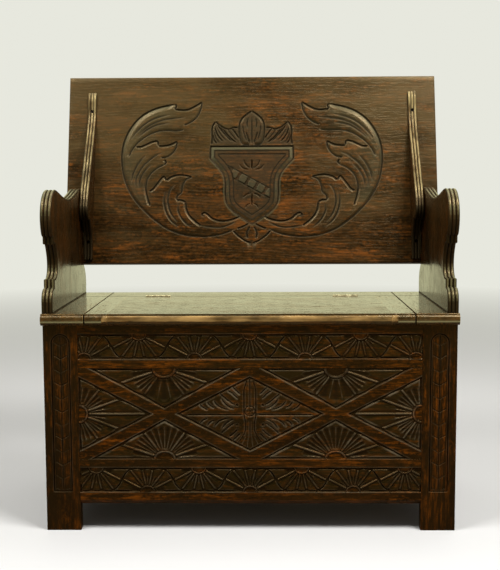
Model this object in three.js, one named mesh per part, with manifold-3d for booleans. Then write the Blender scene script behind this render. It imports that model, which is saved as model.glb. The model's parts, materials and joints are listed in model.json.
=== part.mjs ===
// Oak box settle with a lifting lid and a back that tips over to make a table.
// The back hangs on two pegs that pass through the arms into two shaped cleats.
// Millimetres, +Z up, +X to the right as seen from the front, the front towards -Y.
// The origin lies on the floor below the middle of the overall box.

import * as THREE from 'three';
import { mergeVertices } from 'three/addons/utils/BufferGeometryUtils.js';
import Module from 'manifold-3d';

// Driving dimensions of the whole settle
const boxWidth = 867;
const boxDepth = 408;
const seatHeight = 465.5;
const seatThickness = 24.5;
const topOverhang = 23.25;
const topHeight = 476.5;
const topThickness = 20;
const topLean = THREE.MathUtils.degToRad(14.63);

// The pegs that the back turns on: in front of the rear of the box, above the seat,
// up the back from its lower edge, and in front of its carved face
const pivotBeforeRear = 54;
const pivotAboveSeat = 197.5;
const pivotUpTop = 111.75;
const pivotToFace = 60.5;

// Clearances shared by all pieces
const runningGap = 0.3;
const panelPlay = 0.5;
const overrun = 5;

// Corner legs, each a board with a sunk arched panel on its face
const leg = {
  width: 72.5,
  thickness: 24,
  nicheWidth: 40,
  nicheDepth: 4,
  nicheBottom: 83.5,
  nicheTopMargin: 18.5,
};

// Front rails and panel, with the straps that stand between its sunk fields
const front = {
  thickness: 22,
  toeSpace: 57,
  bottomRailHeight: 97.25,
  topRailHeight: 91.75,
  chamferHeight: 9,
  chamferDepth: 6,
  tongue: 8,
  tongueThickness: 7,
  tongueSetback: 7,
  bandHeight: 53.5,
  bandDepth: 2.5,
  topBandMargin: 19,
  bottomBandMargin: 26,
};
const strap = {
  sinking: 4,
  crossHalfRise: 11,
  crossHalfRun: 24.5,
  edgeInset: 22.5,
  sideInset: 17,
};

// Rear and side frames, each a flat panel held in grooves
const frame = {
  sideThickness: 20,
  rearThickness: 22,
  stileWidth: 45,
  topRailHeight: 70,
  bottomRailHeight: 90,
  panelThickness: 8,
  grooveDepth: 8,
  panelSetback: 6,
};

// Floor of the box and the bearers inside it
const inside = {
  floorThickness: 10,
  battenSize: 18,
  floorPlay: 1,
  bearerWidth: 20,
  bearerHeight: 32,
  bearerUnderLid: 11,
};

// Seat boards and lid, with the moulded front edge
const seat = {
  noseOverhang: 13.25,
  sideOverhang: 2.5,
  rearOverhang: 4.5,
  endBoardWidth: 90,
  rearBoardDepth: 89.5,
  lipHeight: 4,
  lipSetback: 5.5,
  noseSetback: 4,
  fillet: 2.5,
  lidSideGap: 2,
  lidRearGap: 0.5,
  clampWidth: 49,
  tongueThickness: 8,
  tongueLength: 14,
};

// Butt hinges of the lid
const hinge = {
  length: 60,
  fromLidEnd: 90,
  leafHeight: 20,
  leafThickness: 1.25,
  knuckleRadius: 3.25,
  pinRadius: 1.3,
  pinHoleRadius: 1.6,
  knuckles: 5,
  knuckleGap: 0.5,
};

// Arms: heights are above the seat, front places are behind the front of the box, and rear
// places are measured from its rear
const arm = {
  thickness: 23.5,
  seatEdgeMargin: 0.5,
  reeds: 3,
  reedDepth: 3.2,
  topClearance: 0.5,
  baseFront: 2,
  baseFrontHeight: 24,
  baseTop: 52,
  baseShoulder: 29,
  lowerBlock: 30,
  lowerBlockTop: 69.5,
  coveFoot: 42,
  waist: 66,
  waistHeight: 97,
  coveTop: 45,
  coveTopHeight: 143,
  upperBlock: 28.5,
  upperBlockTop: 158,
  frontLobeSetback: 66,
  valleyDrop: 23.25,
  rearWaistInset: 47,
  rearWaistHeight: 134,
  rearSwellInset: 30,
  rearSwellHeight: 100,
  rearBaseOverhang: 4,
  rearBaseHeight: 25,
  rearFootOverhang: 2,
  tenonLength: 22,
  tenonWidth: 60,
  tenonThickness: 10,
  tenonMargin: 50,
};

// Cleats: heights are up the back from its lower edge or from the pegs, or down from the
// cleat's own head, and depths are in front of the carved face
const cleat = {
  thickness: 21,
  armGap: 1,
  reeds: 3,
  reedDepth: 2.75,
  foot: 8,
  footDepth: 12,
  lowerBelowPeg: 49.75,
  lowerDepth: 21,
  noseAbovePeg: 6.25,
  noseBeforePeg: 9.5,
  noseRadius: 24.5,
  shoulderShare: 0.45,
  shoulderDepth: 52,
  neckBelowHead: 51,
  neckDepth: 6,
  bulgeBelowHead: 24,
  bulgeDepth: 9,
  length: 428,
};

const peg = {
  radius: 8,
  headRadius: 13,
  headThickness: 4.5,
  headDome: 2,
};

const screw = {
  headRadius: 4,
  headHeight: 2.5,
  shankRadius: 2,
  length: 20,
  sinking: 2,
  lowerHeight: 50,
};

const segments = { round: 24, small: 16, nose: 8, reed: 3, armCurve: 7, cleatCurve: 6 };

// Levels and places that follow from the sizes above
const halfBox = boxWidth / 2;
const legHeight = seatHeight - seatThickness;
const legInner = halfBox - leg.width;
const panelBottom = front.toeSpace + front.bottomRailHeight;
const panelTop = legHeight - front.topRailHeight;
const sideInner = halfBox - frame.sideThickness;
const rearInner = boxDepth - frame.rearThickness;
const halfSeat = halfBox + seat.sideOverhang;
const seatFront = -seat.noseOverhang;
const seatRear = boxDepth + seat.rearOverhang;
const lidOpeningHalf = halfSeat - seat.endBoardWidth;
const lidHalf = lidOpeningHalf - seat.lidSideGap;
const lidBoardHalf = lidHalf - seat.clampWidth;
const rearBoardFront = seatRear - seat.rearBoardDepth;
const lidRear = rearBoardFront - seat.lidRearGap;
const hingeLine = (rearBoardFront + lidRear) / 2;
const floorTop = front.toeSpace + inside.battenSize + inside.floorThickness;
const armOuter = halfSeat - arm.seatEdgeMargin;
const armInner = armOuter - arm.thickness;
const cleatOuter = armInner - cleat.armGap;
const cleatInner = cleatOuter - cleat.thickness;
const halfTop = armOuter + topOverhang;
const lobeRadius = pivotToFace - arm.topClearance;
const pegHole = peg.radius + runningGap;

// The lower front edge of the back, which comes to rest against the rear of the arms
const pivotBehindFront = boxDepth - pivotBeforeRear;
const topFootBehind = pivotUpTop * Math.sin(topLean);
const topFootBelow = pivotUpTop * Math.cos(topLean);
const restY = pivotBehindFront + pivotToFace * Math.cos(topLean) - topFootBehind;
const restZ = pivotAboveSeat - topFootBelow - pivotToFace * Math.sin(topLean);
const overallRear = restY + topHeight * Math.sin(topLean) + topThickness * Math.cos(topLean);
const middleDepth = (seatFront + overallRear) / 2;

// Finishes
function oak(color, roughness) {
  return new THREE.MeshStandardMaterial({ color, roughness, metalness: 0 });
}
const finish = {
  carved: oak(0x2a1a10, 0.5),
  side: oak(0x2e1c11, 0.5),
  seat: oak(0x4a3020, 0.28),
  arm: oak(0x301c10, 0.35),
  back: oak(0x4a2c19, 0.4),
  inner: oak(0x5a4028, 0.8),
  brass: new THREE.MeshStandardMaterial({ color: 0x7a6238, roughness: 0.45, metalness: 1 }),
  iron: new THREE.MeshStandardMaterial({ color: 0x26221e, roughness: 0.6, metalness: 1 }),
};

// Solid joining and cutting
const wasm = await Module();
wasm.setup();

function toSolid(geometry) {
  const bare = geometry.clone();
  bare.deleteAttribute('normal');
  bare.deleteAttribute('uv');
  const merged = mergeVertices(bare);
  return new wasm.Manifold(new wasm.Mesh({
    numProp: 3,
    vertProperties: merged.attributes.position.array,
    triVerts: new Uint32Array(merged.index.array),
  }));
}

function toGeometry(solid) {
  const mesh = solid.getMesh();
  const geometry = new THREE.BufferGeometry();
  geometry.setAttribute('position', new THREE.BufferAttribute(mesh.vertProperties, 3));
  geometry.setIndex(new THREE.BufferAttribute(mesh.triVerts, 1));
  geometry.computeVertexNormals();
  return geometry;
}

function cut(geometry, tools) {
  let solid = toSolid(geometry);
  for (const tool of tools) {
    solid = solid.subtract(toSolid(tool));
  }
  return toGeometry(solid);
}

function join(geometries) {
  const [first, ...others] = geometries.map(toSolid);
  return toGeometry(others.reduce((whole, solid) => whole.add(solid), first));
}

// Plain forms. A span is a pair of the lowest and the highest value along one axis.
function middle([low, high]) {
  return (low + high) / 2;
}

function block(x, y, z) {
  const geometry = new THREE.BoxGeometry(x[1] - x[0], y[1] - y[0], z[1] - z[0]);
  geometry.translate(middle(x), middle(y), middle(z));
  return geometry;
}

function grown([low, high], by) {
  return [low - by, high + by];
}

function mirrored([low, high]) {
  return [-high, -low];
}

// A round bar along X between two places
function barAlongX(radius, x, y, z, sides) {
  const geometry = new THREE.CylinderGeometry(radius, radius, x[1] - x[0], sides);
  geometry.rotateZ(Math.PI / 2);
  geometry.translate(middle(x), y, z);
  return geometry;
}

// An outline drawn in Y and Z, extruded along X
function extrudeAlongX(outline, x, curveSegments) {
  const geometry = new THREE.ExtrudeGeometry(outline, {
    depth: x[1] - x[0],
    bevelEnabled: false,
    curveSegments,
  });
  geometry.rotateX(Math.PI / 2);
  geometry.rotateZ(Math.PI / 2);
  geometry.translate(x[0], 0, 0);
  return geometry;
}

// An outline drawn in X and Z, extruded along Y from the front plane backwards
function extrudeAlongY(outline, y, curveSegments) {
  const geometry = new THREE.ExtrudeGeometry(outline, {
    depth: y[1] - y[0],
    bevelEnabled: false,
    curveSegments,
  });
  geometry.rotateX(Math.PI / 2);
  geometry.translate(0, y[1], 0);
  return geometry;
}

function named(name, geometry, material) {
  const mesh = new THREE.Mesh(geometry, material);
  mesh.name = name;
  return mesh;
}

// A board that fills three spans and sits at its own centre, less what the cutters take
function board(name, material, x, y, z, cutters = []) {
  const centre = new THREE.Vector3(middle(x), middle(y), middle(z));
  let geometry = new THREE.BoxGeometry(x[1] - x[0], y[1] - y[0], z[1] - z[0]);
  if (cutters.length > 0) {
    const moved = cutters.map((tool) => tool.clone().translate(-centre.x, -centre.y, -centre.z));
    geometry = cut(geometry, moved);
  }
  const mesh = named(name, geometry, material);
  mesh.position.copy(centre);
  return mesh;
}

const sides = [
  { name: 'left', sign: -1 },
  { name: 'right', sign: 1 },
];

function towards(sign, span) {
  return sign > 0 ? span : mirrored(span);
}

// A solid whose edge carries round reeds that run along its outline. The outline lies in
// Y and Z and rests on Z = 0, where the solid stays flat.
function reeded(outline, x, reeds, reedDepth, divisions) {
  let points = outline.getPoints(divisions);
  if (points[0].distanceTo(points[points.length - 1]) < runningGap) {
    points = points.slice(0, -1);
  }
  if (THREE.ShapeUtils.area(points) < 0) {
    points.reverse();
  }
  const count = points.length;
  const inward = points.map((point, i) => {
    const before = points[(i + count - 1) % count];
    const after = points[(i + 1) % count];
    const arriving = point.clone().sub(before).normalize();
    const leaving = after.clone().sub(point).normalize();
    const mitre = new THREE.Vector2(-arriving.y - leaving.y, arriving.x + leaving.x).normalize();
    const stretch = Math.max(mitre.dot(new THREE.Vector2(-leaving.y, leaving.x)), Math.SQRT1_2);
    return mitre.divideScalar(stretch);
  });
  const rings = reeds * segments.reed;
  const positions = [];
  for (let ring = 0; ring <= rings; ring += 1) {
    const across = ring / rings;
    const within = (across * reeds) % 1;
    const offset = ring === rings ? -1 : 2 * within - 1;
    const sinking = reedDepth * (1 - Math.sqrt(1 - offset * offset));
    for (let i = 0; i < count; i += 1) {
      const onBase = points[i].y === 0;
      const y = points[i].x + inward[i].x * sinking;
      const z = onBase ? 0 : points[i].y + inward[i].y * sinking;
      positions.push(x[0] + across * (x[1] - x[0]), y, z);
    }
  }
  const index = [];
  for (let ring = 0; ring < rings; ring += 1) {
    for (let i = 0; i < count; i += 1) {
      const a = ring * count + i;
      const b = ring * count + ((i + 1) % count);
      index.push(a, b, a + count);
      index.push(b, b + count, a + count);
    }
  }
  for (const face of THREE.ShapeUtils.triangulateShape(points, [])) {
    const far = rings * count;
    index.push(face[0], face[2], face[1]);
    index.push(far + face[0], far + face[1], far + face[2]);
  }
  const geometry = new THREE.BufferGeometry();
  geometry.setAttribute('position', new THREE.Float32BufferAttribute(positions, 3));
  geometry.setIndex(index);
  return geometry;
}

// Box: legs, rails and panels
const frontTongue = {
  y: [front.tongueSetback, front.tongueSetback + front.tongueThickness],
  x: [-legInner - front.tongue, legInner + front.tongue],
  z: [panelBottom - front.tongue, panelTop + front.tongue],
};

function frontGroove() {
  return block(
    grown(frontTongue.x, runningGap),
    grown(frontTongue.y, runningGap),
    grown(frontTongue.z, runningGap),
  );
}

function rearPanelSpans() {
  const y = boxDepth - frame.panelSetback - frame.panelThickness;
  return {
    x: [-legInner - frame.grooveDepth, legInner + frame.grooveDepth],
    y: [y, y + frame.panelThickness],
    z: [
      front.toeSpace + frame.bottomRailHeight - frame.grooveDepth,
      legHeight - frame.topRailHeight + frame.grooveDepth,
    ],
  };
}

function sidePanelSpans() {
  const x = halfBox - frame.panelSetback - frame.panelThickness;
  return {
    x: [x, x + frame.panelThickness],
    y: [
      leg.thickness + frame.stileWidth - frame.grooveDepth,
      boxDepth - leg.thickness - frame.stileWidth + frame.grooveDepth,
    ],
    z: rearPanelSpans().z,
  };
}

// The arched field sunk in a front leg, as seen from the front
function niche(centre) {
  const radius = leg.nicheWidth / 2;
  const spring = legHeight - leg.nicheTopMargin - radius;
  const outline = new THREE.Shape();
  outline.moveTo(centre - radius, leg.nicheBottom);
  outline.lineTo(centre + radius, leg.nicheBottom);
  outline.lineTo(centre + radius, spring);
  outline.absarc(centre, spring, radius, 0, Math.PI, false);
  outline.closePath();
  return extrudeAlongY(outline, [-overrun, leg.nicheDepth], segments.small);
}

function legs() {
  const group = new THREE.Group();
  const rear = rearPanelSpans();
  const rearGroove = block(
    grown(rear.x, panelPlay),
    grown(rear.y, runningGap),
    grown(rear.z, panelPlay),
  );
  for (const { name, sign } of sides) {
    const x = towards(sign, [legInner, halfBox]);
    const z = [0, legHeight];
    const nicheCut = niche(middle(x));
    const frontCutters = [nicheCut, frontGroove()];
    group.add(board(`front_${name}_leg`, finish.carved, x, [0, leg.thickness], z, frontCutters));
    const rearY = [boxDepth - leg.thickness, boxDepth];
    group.add(board(`rear_${name}_leg`, finish.side, x, rearY, z, [rearGroove]));
  }
  return group;
}

// The field between two straps, a polygon with its corners given in X and Z
function sunkField(corners) {
  const outline = new THREE.Shape(corners.map(([x, z]) => new THREE.Vector2(x, z)));
  return extrudeAlongY(outline, [-overrun, strap.sinking], 1);
}

// The straps cross twice and widen towards their ends, so that they leave a lozenge in the
// middle, a triangle above and below each crossing, and a triangle at each end
function strapFields() {
  const middleZ = (panelBottom + panelTop) / 2;
  const cross = legInner / 2;
  const edgeHalf = cross - strap.edgeInset;
  const sideHalf = (panelTop - panelBottom) / 2 - strap.sideInset;
  const fields = [];
  fields.push(sunkField([
    [-cross + strap.crossHalfRun, middleZ],
    [0, middleZ - sideHalf],
    [cross - strap.crossHalfRun, middleZ],
    [0, middleZ + sideHalf],
  ]));
  for (const { sign } of sides) {
    const x = sign * cross;
    for (const edge of [panelBottom, panelTop]) {
      const up = Math.sign(edge - middleZ);
      fields.push(sunkField([
        [x - edgeHalf, edge],
        [x + edgeHalf, edge],
        [x, middleZ + up * strap.crossHalfRise],
      ]));
    }
    const end = sign * legInner;
    fields.push(sunkField([
      [end, middleZ + sideHalf],
      [end, middleZ - sideHalf],
      [x + sign * strap.crossHalfRun, middleZ],
    ]));
  }
  return fields;
}

function frontPanel() {
  const body = block([-legInner, legInner], [0, front.thickness], [panelBottom, panelTop]);
  const tongue = block(frontTongue.x, frontTongue.y, frontTongue.z);
  return named('front_panel', cut(join([body, tongue]), strapFields()), finish.carved);
}

// The lower edge of the bottom rail is cut away at the front
function railChamfer() {
  const outline = new THREE.Shape();
  outline.moveTo(-overrun, front.toeSpace - overrun);
  outline.lineTo(front.chamferDepth, front.toeSpace - overrun);
  outline.lineTo(front.chamferDepth, front.toeSpace);
  outline.lineTo(0, front.toeSpace + front.chamferHeight);
  outline.lineTo(-overrun, front.toeSpace + front.chamferHeight);
  outline.closePath();
  return extrudeAlongX(outline, grown([-legInner, legInner], overrun), 1);
}

// The long field that the lunettes are carved in
function bandField(bottom) {
  return block(
    [-legInner, legInner],
    [-overrun, front.bandDepth],
    [bottom, bottom + front.bandHeight],
  );
}

function frontRails() {
  const group = new THREE.Group();
  const x = [-legInner, legInner];
  const y = [0, front.thickness];
  const topZ = [panelTop, legHeight];
  const topBand = bandField(legHeight - front.topBandMargin - front.bandHeight);
  group.add(board('front_top_rail', finish.carved, x, y, topZ, [frontGroove(), topBand]));
  const bottomZ = [front.toeSpace, panelBottom];
  const bottomBand = bandField(front.toeSpace + front.bottomBandMargin);
  const cutters = [frontGroove(), bottomBand, railChamfer()];
  group.add(board('front_bottom_rail', finish.carved, x, y, bottomZ, cutters));
  return group;
}

function rearFrame() {
  const group = new THREE.Group();
  const panel = rearPanelSpans();
  const groove = block(
    grown(panel.x, panelPlay),
    grown(panel.y, runningGap),
    grown(panel.z, panelPlay),
  );
  const x = [-legInner, legInner];
  const y = [rearInner, boxDepth];
  const topZ = [legHeight - frame.topRailHeight, legHeight];
  const bottomZ = [front.toeSpace, front.toeSpace + frame.bottomRailHeight];
  group.add(board('rear_top_rail', finish.side, x, y, topZ, [groove]));
  group.add(board('rear_bottom_rail', finish.side, x, y, bottomZ, [groove]));
  group.add(board('rear_panel', finish.side, panel.x, panel.y, panel.z));
  return group;
}

function sideFrame({ name, sign }) {
  const group = new THREE.Group();
  const panel = sidePanelSpans();
  const panelX = towards(sign, panel.x);
  const groove = block(
    grown(panelX, runningGap),
    grown(panel.y, panelPlay),
    grown(panel.z, panelPlay),
  );
  const x = towards(sign, [sideInner, halfBox]);
  const railY = [leg.thickness + frame.stileWidth, boxDepth - leg.thickness - frame.stileWidth];
  const frontY = [leg.thickness, railY[0]];
  const rearY = [railY[1], boxDepth - leg.thickness];
  const stileZ = [front.toeSpace, legHeight];
  const topZ = [legHeight - frame.topRailHeight, legHeight];
  const bottomZ = [front.toeSpace, front.toeSpace + frame.bottomRailHeight];
  group.add(board(`${name}_front_stile`, finish.side, x, frontY, stileZ, [groove]));
  group.add(board(`${name}_rear_stile`, finish.side, x, rearY, stileZ, [groove]));
  group.add(board(`${name}_top_rail`, finish.side, x, railY, topZ, [groove]));
  group.add(board(`${name}_bottom_rail`, finish.side, x, railY, bottomZ, [groove]));
  group.add(board(`${name}_panel`, finish.side, panelX, panel.y, panel.z));
  return group;
}

// Floor boards on two battens, and the bearers that carry the inner edges of the seat
function insideOfBox() {
  const group = new THREE.Group();
  const x = [-sideInner, sideInner];
  const battenZ = [front.toeSpace, front.toeSpace + inside.battenSize];
  const frontBatten = [leg.thickness, leg.thickness + inside.battenSize];
  const rearBatten = [boxDepth - leg.thickness - inside.battenSize, boxDepth - leg.thickness];
  group.add(board('front_floor_batten', finish.inner, x, frontBatten, battenZ));
  group.add(board('rear_floor_batten', finish.inner, x, rearBatten, battenZ));
  const floorX = grown(x, -inside.floorPlay);
  const floorY = grown([leg.thickness, boxDepth - leg.thickness], -inside.floorPlay);
  group.add(board('box_floor', finish.inner, floorX, floorY, [battenZ[1], floorTop]));
  const bearerStart = lidHalf - inside.bearerUnderLid;
  const bearerZ = [legHeight - inside.bearerHeight, legHeight];
  for (const { name, sign } of sides) {
    const bearerX = towards(sign, [bearerStart, bearerStart + inside.bearerWidth]);
    const bearerY = [leg.thickness, boxDepth - leg.thickness];
    group.add(board(`${name}_seat_bearer`, finish.inner, bearerX, bearerY, bearerZ));
  }
  return group;
}

// Side view of a seat board from its moulded front edge to a rear edge
function seatProfile(rear) {
  const top = seatHeight;
  const bottom = seatHeight - seatThickness;
  const lip = seatFront + seat.lipSetback;
  const nose = seatFront + seat.noseSetback;
  const noseTop = top - seat.lipHeight;
  const noseBottom = bottom + seat.fillet;
  const noseMiddle = (noseTop + noseBottom) / 2;
  const outline = new THREE.Shape();
  outline.moveTo(rear, bottom);
  outline.lineTo(rear, top);
  outline.lineTo(lip, top);
  outline.lineTo(lip, noseTop);
  outline.lineTo(nose, noseTop);
  outline.absellipse(
    nose, noseMiddle, seat.noseSetback, (noseTop - noseBottom) / 2,
    Math.PI / 2, 3 * Math.PI / 2, false, 0,
  );
  outline.lineTo(nose + seat.fillet, bottom);
  outline.closePath();
  return outline;
}

function seatBoard(x, rear) {
  return extrudeAlongX(seatProfile(rear), x, segments.nose);
}

// The two places of the hinges along the lid, each as the span of its length
function hingeSpans() {
  const near = lidHalf - hinge.fromLidEnd - hinge.length;
  return sides.map(({ name, sign }) => ({ name, x: towards(sign, [near, near + hinge.length]) }));
}

function knuckleSpace(x, extra) {
  const length = grown(x, extra);
  return barAlongX(hinge.knuckleRadius + runningGap, length, hingeLine, seatHeight, segments.small);
}

// Rebate for a leaf in the edge of a board, and the hollow for the knuckles
function hingeCutters(direction) {
  const cutters = [];
  for (const { x } of hingeSpans()) {
    const inner = hingeLine - direction * overrun;
    const outer = hingeLine + direction * (seat.lidRearGap / 2 + hinge.leafThickness + runningGap);
    const y = direction > 0 ? [inner, outer] : [outer, inner];
    const z = [seatHeight - hinge.leafHeight - runningGap, seatHeight + overrun];
    cutters.push(block(grown(x, runningGap), y, z));
    cutters.push(knuckleSpace(x, runningGap));
  }
  return cutters;
}

function armTenonSpans(sign) {
  const centre = sign * (armInner + armOuter) / 2;
  const x = [centre - arm.tenonThickness / 2, centre + arm.tenonThickness / 2];
  const z = [seatHeight - arm.tenonLength, seatHeight];
  const frontY = arm.baseFront + arm.tenonMargin;
  const rearY = boxDepth - arm.tenonMargin - arm.tenonWidth;
  return [frontY, rearY].map((y) => ({ x, y: [y, y + arm.tenonWidth], z }));
}

function fixedSeat() {
  const group = new THREE.Group();
  for (const { name, sign } of sides) {
    const x = towards(sign, [lidOpeningHalf, halfSeat]);
    const mortices = armTenonSpans(sign).map((tenon) => block(
      grown(tenon.x, runningGap),
      grown(tenon.y, runningGap),
      grown(tenon.z, overrun),
    ));
    const geometry = cut(seatBoard(x, seatRear), mortices);
    group.add(named(`seat_${name}_end_board`, geometry, finish.seat));
  }
  const x = [-lidOpeningHalf, lidOpeningHalf];
  const y = [rearBoardFront, seatRear];
  const z = [legHeight, seatHeight];
  group.add(board('seat_rear_board', finish.seat, x, y, z, hingeCutters(1)));
  return group;
}

// Lid: a main board between two clamps that hold its ends on a tongue
function lid() {
  const group = new THREE.Group();
  const tongueZ = [
    seatHeight - (seatThickness + seat.tongueThickness) / 2,
    seatHeight - (seatThickness - seat.tongueThickness) / 2,
  ];
  const tongueX = [-lidBoardHalf - seat.tongueLength, lidBoardHalf + seat.tongueLength];
  const tongueY = [seatFront + seat.tongueLength, lidRear - seat.tongueLength];
  const main = seatBoard([-lidBoardHalf, lidBoardHalf], lidRear);
  const tongue = block(tongueX, tongueY, tongueZ);
  const hingeSpace = hingeCutters(-1);
  const mainBoard = cut(join([main, tongue]), hingeSpace);
  group.add(named('lid_board', mainBoard, finish.seat));
  const groove = block(
    grown(tongueX, runningGap),
    grown(tongueY, runningGap),
    grown(tongueZ, runningGap),
  );
  for (const { name, sign } of sides) {
    const clamp = seatBoard(towards(sign, [lidBoardHalf, lidHalf]), lidRear);
    group.add(named(`lid_${name}_clamp`, cut(clamp, [groove, ...hingeSpace]), finish.seat));
  }
  return group;
}

// One leaf of a butt hinge: a plate with every other knuckle, bored for the pin
function hingeLeaf(x, direction, first) {
  const step = (x[1] - x[0]) / hinge.knuckles;
  const near = hingeLine + direction * seat.lidRearGap / 2;
  const far = near + direction * hinge.leafThickness;
  const y = direction > 0 ? [near, far] : [far, near];
  const plate = block(x, y, [seatHeight - hinge.leafHeight, seatHeight]);
  const own = [];
  const others = [];
  for (let i = 0; i < hinge.knuckles; i += 1) {
    const span = [x[0] + i * step, x[0] + (i + 1) * step];
    if (i % 2 === first) {
      const knuckle = grown(span, -hinge.knuckleGap / 2);
      own.push(barAlongX(hinge.knuckleRadius, knuckle, hingeLine, seatHeight, segments.small));
    } else {
      others.push(knuckleSpace(span, 0));
    }
  }
  const leaf = join([cut(plate, others), ...own]);
  const hole = barAlongX(
    hinge.pinHoleRadius, grown(x, overrun), hingeLine, seatHeight, segments.small,
  );
  return cut(leaf, [hole]);
}

function hingeSeatParts() {
  const group = new THREE.Group();
  for (const { name, x } of hingeSpans()) {
    group.add(named(`${name}_hinge_seat_leaf`, hingeLeaf(x, 1, 0), finish.brass));
    const pin = new THREE.CylinderGeometry(
      hinge.pinRadius, hinge.pinRadius, hinge.length, segments.small,
    );
    const mesh = named(`${name}_hinge_pin`, pin, finish.brass);
    mesh.rotation.z = Math.PI / 2;
    mesh.position.set(middle(x), hingeLine, seatHeight);
    group.add(mesh);
  }
  return group;
}

function hingeLidParts() {
  const group = new THREE.Group();
  for (const { name, x } of hingeSpans()) {
    group.add(named(`${name}_hinge_lid_leaf`, hingeLeaf(x, -1, 1), finish.brass));
  }
  return group;
}

// Side view of an arm: y behind the box front, z above the seat
function armOutline() {
  const roundShare = 0.55;
  const baseRun = arm.baseShoulder - arm.baseFront;
  const baseRise = arm.baseTop - arm.baseFrontHeight;
  const lobeY = arm.frontLobeSetback;
  const lobeZ = pivotAboveSeat;
  const valleyY = (lobeY + pivotBehindFront) / 2;
  const valleyZ = lobeZ + lobeRadius - arm.valleyDrop;
  const entry = THREE.MathUtils.degToRad(212);
  const exit = THREE.MathUtils.degToRad(80);
  const rearExit = THREE.MathUtils.degToRad(-50);
  const rearWaist = boxDepth - arm.rearWaistInset;
  const rearSwell = boxDepth - arm.rearSwellInset;
  const rearBase = boxDepth + arm.rearBaseOverhang;
  const outline = new THREE.Shape();
  outline.moveTo(arm.baseFront, 0);
  outline.lineTo(arm.baseFront, arm.baseFrontHeight);
  outline.bezierCurveTo(
    arm.baseFront, arm.baseFrontHeight + roundShare * baseRise,
    arm.baseShoulder - roundShare * baseRun, arm.baseTop,
    arm.baseShoulder, arm.baseTop,
  );
  outline.lineTo(arm.lowerBlock, arm.baseTop);
  outline.lineTo(arm.lowerBlock, arm.lowerBlockTop);
  outline.lineTo(arm.coveFoot, arm.lowerBlockTop);
  outline.bezierCurveTo(
    arm.coveFoot + roundShare * (arm.waist - arm.coveFoot), arm.lowerBlockTop,
    arm.waist, arm.waistHeight - roundShare * (arm.waistHeight - arm.lowerBlockTop),
    arm.waist, arm.waistHeight,
  );
  outline.quadraticCurveTo(
    arm.waist, (arm.waistHeight + arm.coveTopHeight) / 2,
    arm.coveTop, arm.coveTopHeight,
  );
  outline.lineTo(arm.upperBlock, arm.coveTopHeight);
  outline.lineTo(arm.upperBlock, arm.upperBlockTop);
  const entryY = lobeY + lobeRadius * Math.cos(entry);
  const entryZ = lobeZ + lobeRadius * Math.sin(entry);
  const entryRun = (entryZ - arm.upperBlockTop) * Math.tan(entry - Math.PI);
  outline.quadraticCurveTo(entryY + entryRun, arm.upperBlockTop, entryY, entryZ);
  outline.absarc(lobeY, lobeZ, lobeRadius, entry, exit, true);
  const reach = roundShare * (valleyY - lobeY) / 2;
  outline.bezierCurveTo(
    lobeY + lobeRadius * Math.cos(exit) + reach * Math.sin(exit),
    lobeZ + lobeRadius * Math.sin(exit) - reach * Math.cos(exit),
    valleyY - reach, valleyZ,
    valleyY, valleyZ,
  );
  outline.bezierCurveTo(
    valleyY + reach, valleyZ,
    pivotBehindFront - lobeRadius * Math.cos(exit) - reach * Math.sin(exit),
    lobeZ + lobeRadius * Math.sin(exit) - reach * Math.cos(exit),
    pivotBehindFront - lobeRadius * Math.cos(exit), lobeZ + lobeRadius * Math.sin(exit),
  );
  outline.absarc(pivotBehindFront, lobeZ, lobeRadius, Math.PI - exit, rearExit, true);
  const rearLobeZ = lobeZ + lobeRadius * Math.sin(rearExit);
  outline.quadraticCurveTo(rearWaist, rearLobeZ, rearWaist, arm.rearWaistHeight);
  outline.quadraticCurveTo(rearWaist, arm.rearSwellHeight, rearSwell, arm.rearSwellHeight);
  outline.lineTo(restY - runningGap, restZ);
  outline.bezierCurveTo(
    restY + roundShare * (rearBase - restY), restZ - roundShare * (rearBase - restY),
    rearBase, arm.rearBaseHeight + roundShare * (restZ - arm.rearBaseHeight),
    rearBase, arm.rearBaseHeight,
  );
  outline.lineTo(boxDepth + arm.rearFootOverhang, 0);
  outline.closePath();
  return outline;
}

function arms() {
  const group = new THREE.Group();
  for (const { name, sign } of sides) {
    const x = towards(sign, [armInner, armOuter]);
    const body = reeded(armOutline(), x, arm.reeds, arm.reedDepth, segments.armCurve);
    const tenons = armTenonSpans(sign).map((tenon) => block(
      tenon.x,
      tenon.y,
      [-arm.tenonLength, overrun],
    ));
    const bore = barAlongX(
      pegHole, grown(x, overrun), pivotBehindFront, pivotAboveSeat, segments.round,
    );
    const mesh = named(`${name}_arm`, cut(join([body, ...tenons]), [bore]), finish.arm);
    mesh.position.z = seatHeight;
    group.add(mesh);
  }
  return group;
}

// A turned peg with a button head against the outer face of its arm
function pivotPegs() {
  const group = new THREE.Group();
  const length = armOuter - cleatInner;
  const profile = [
    new THREE.Vector2(0, 0),
    new THREE.Vector2(peg.radius, 0),
    new THREE.Vector2(peg.radius, length + runningGap),
    new THREE.Vector2(peg.headRadius, length + runningGap),
    new THREE.Vector2(peg.headRadius, length + peg.headThickness - peg.headDome),
    new THREE.Vector2(peg.headRadius - peg.headDome, length + peg.headThickness),
    new THREE.Vector2(0, length + peg.headThickness),
  ];
  for (const { name, sign } of sides) {
    const geometry = new THREE.LatheGeometry(profile, segments.round);
    const mesh = named(`${name}_pivot_peg`, geometry, finish.arm);
    mesh.rotation.z = -sign * Math.PI / 2;
    mesh.position.set(sign * cleatInner, pivotBehindFront, seatHeight + pivotAboveSeat);
    group.add(mesh);
  }
  return group;
}

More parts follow.
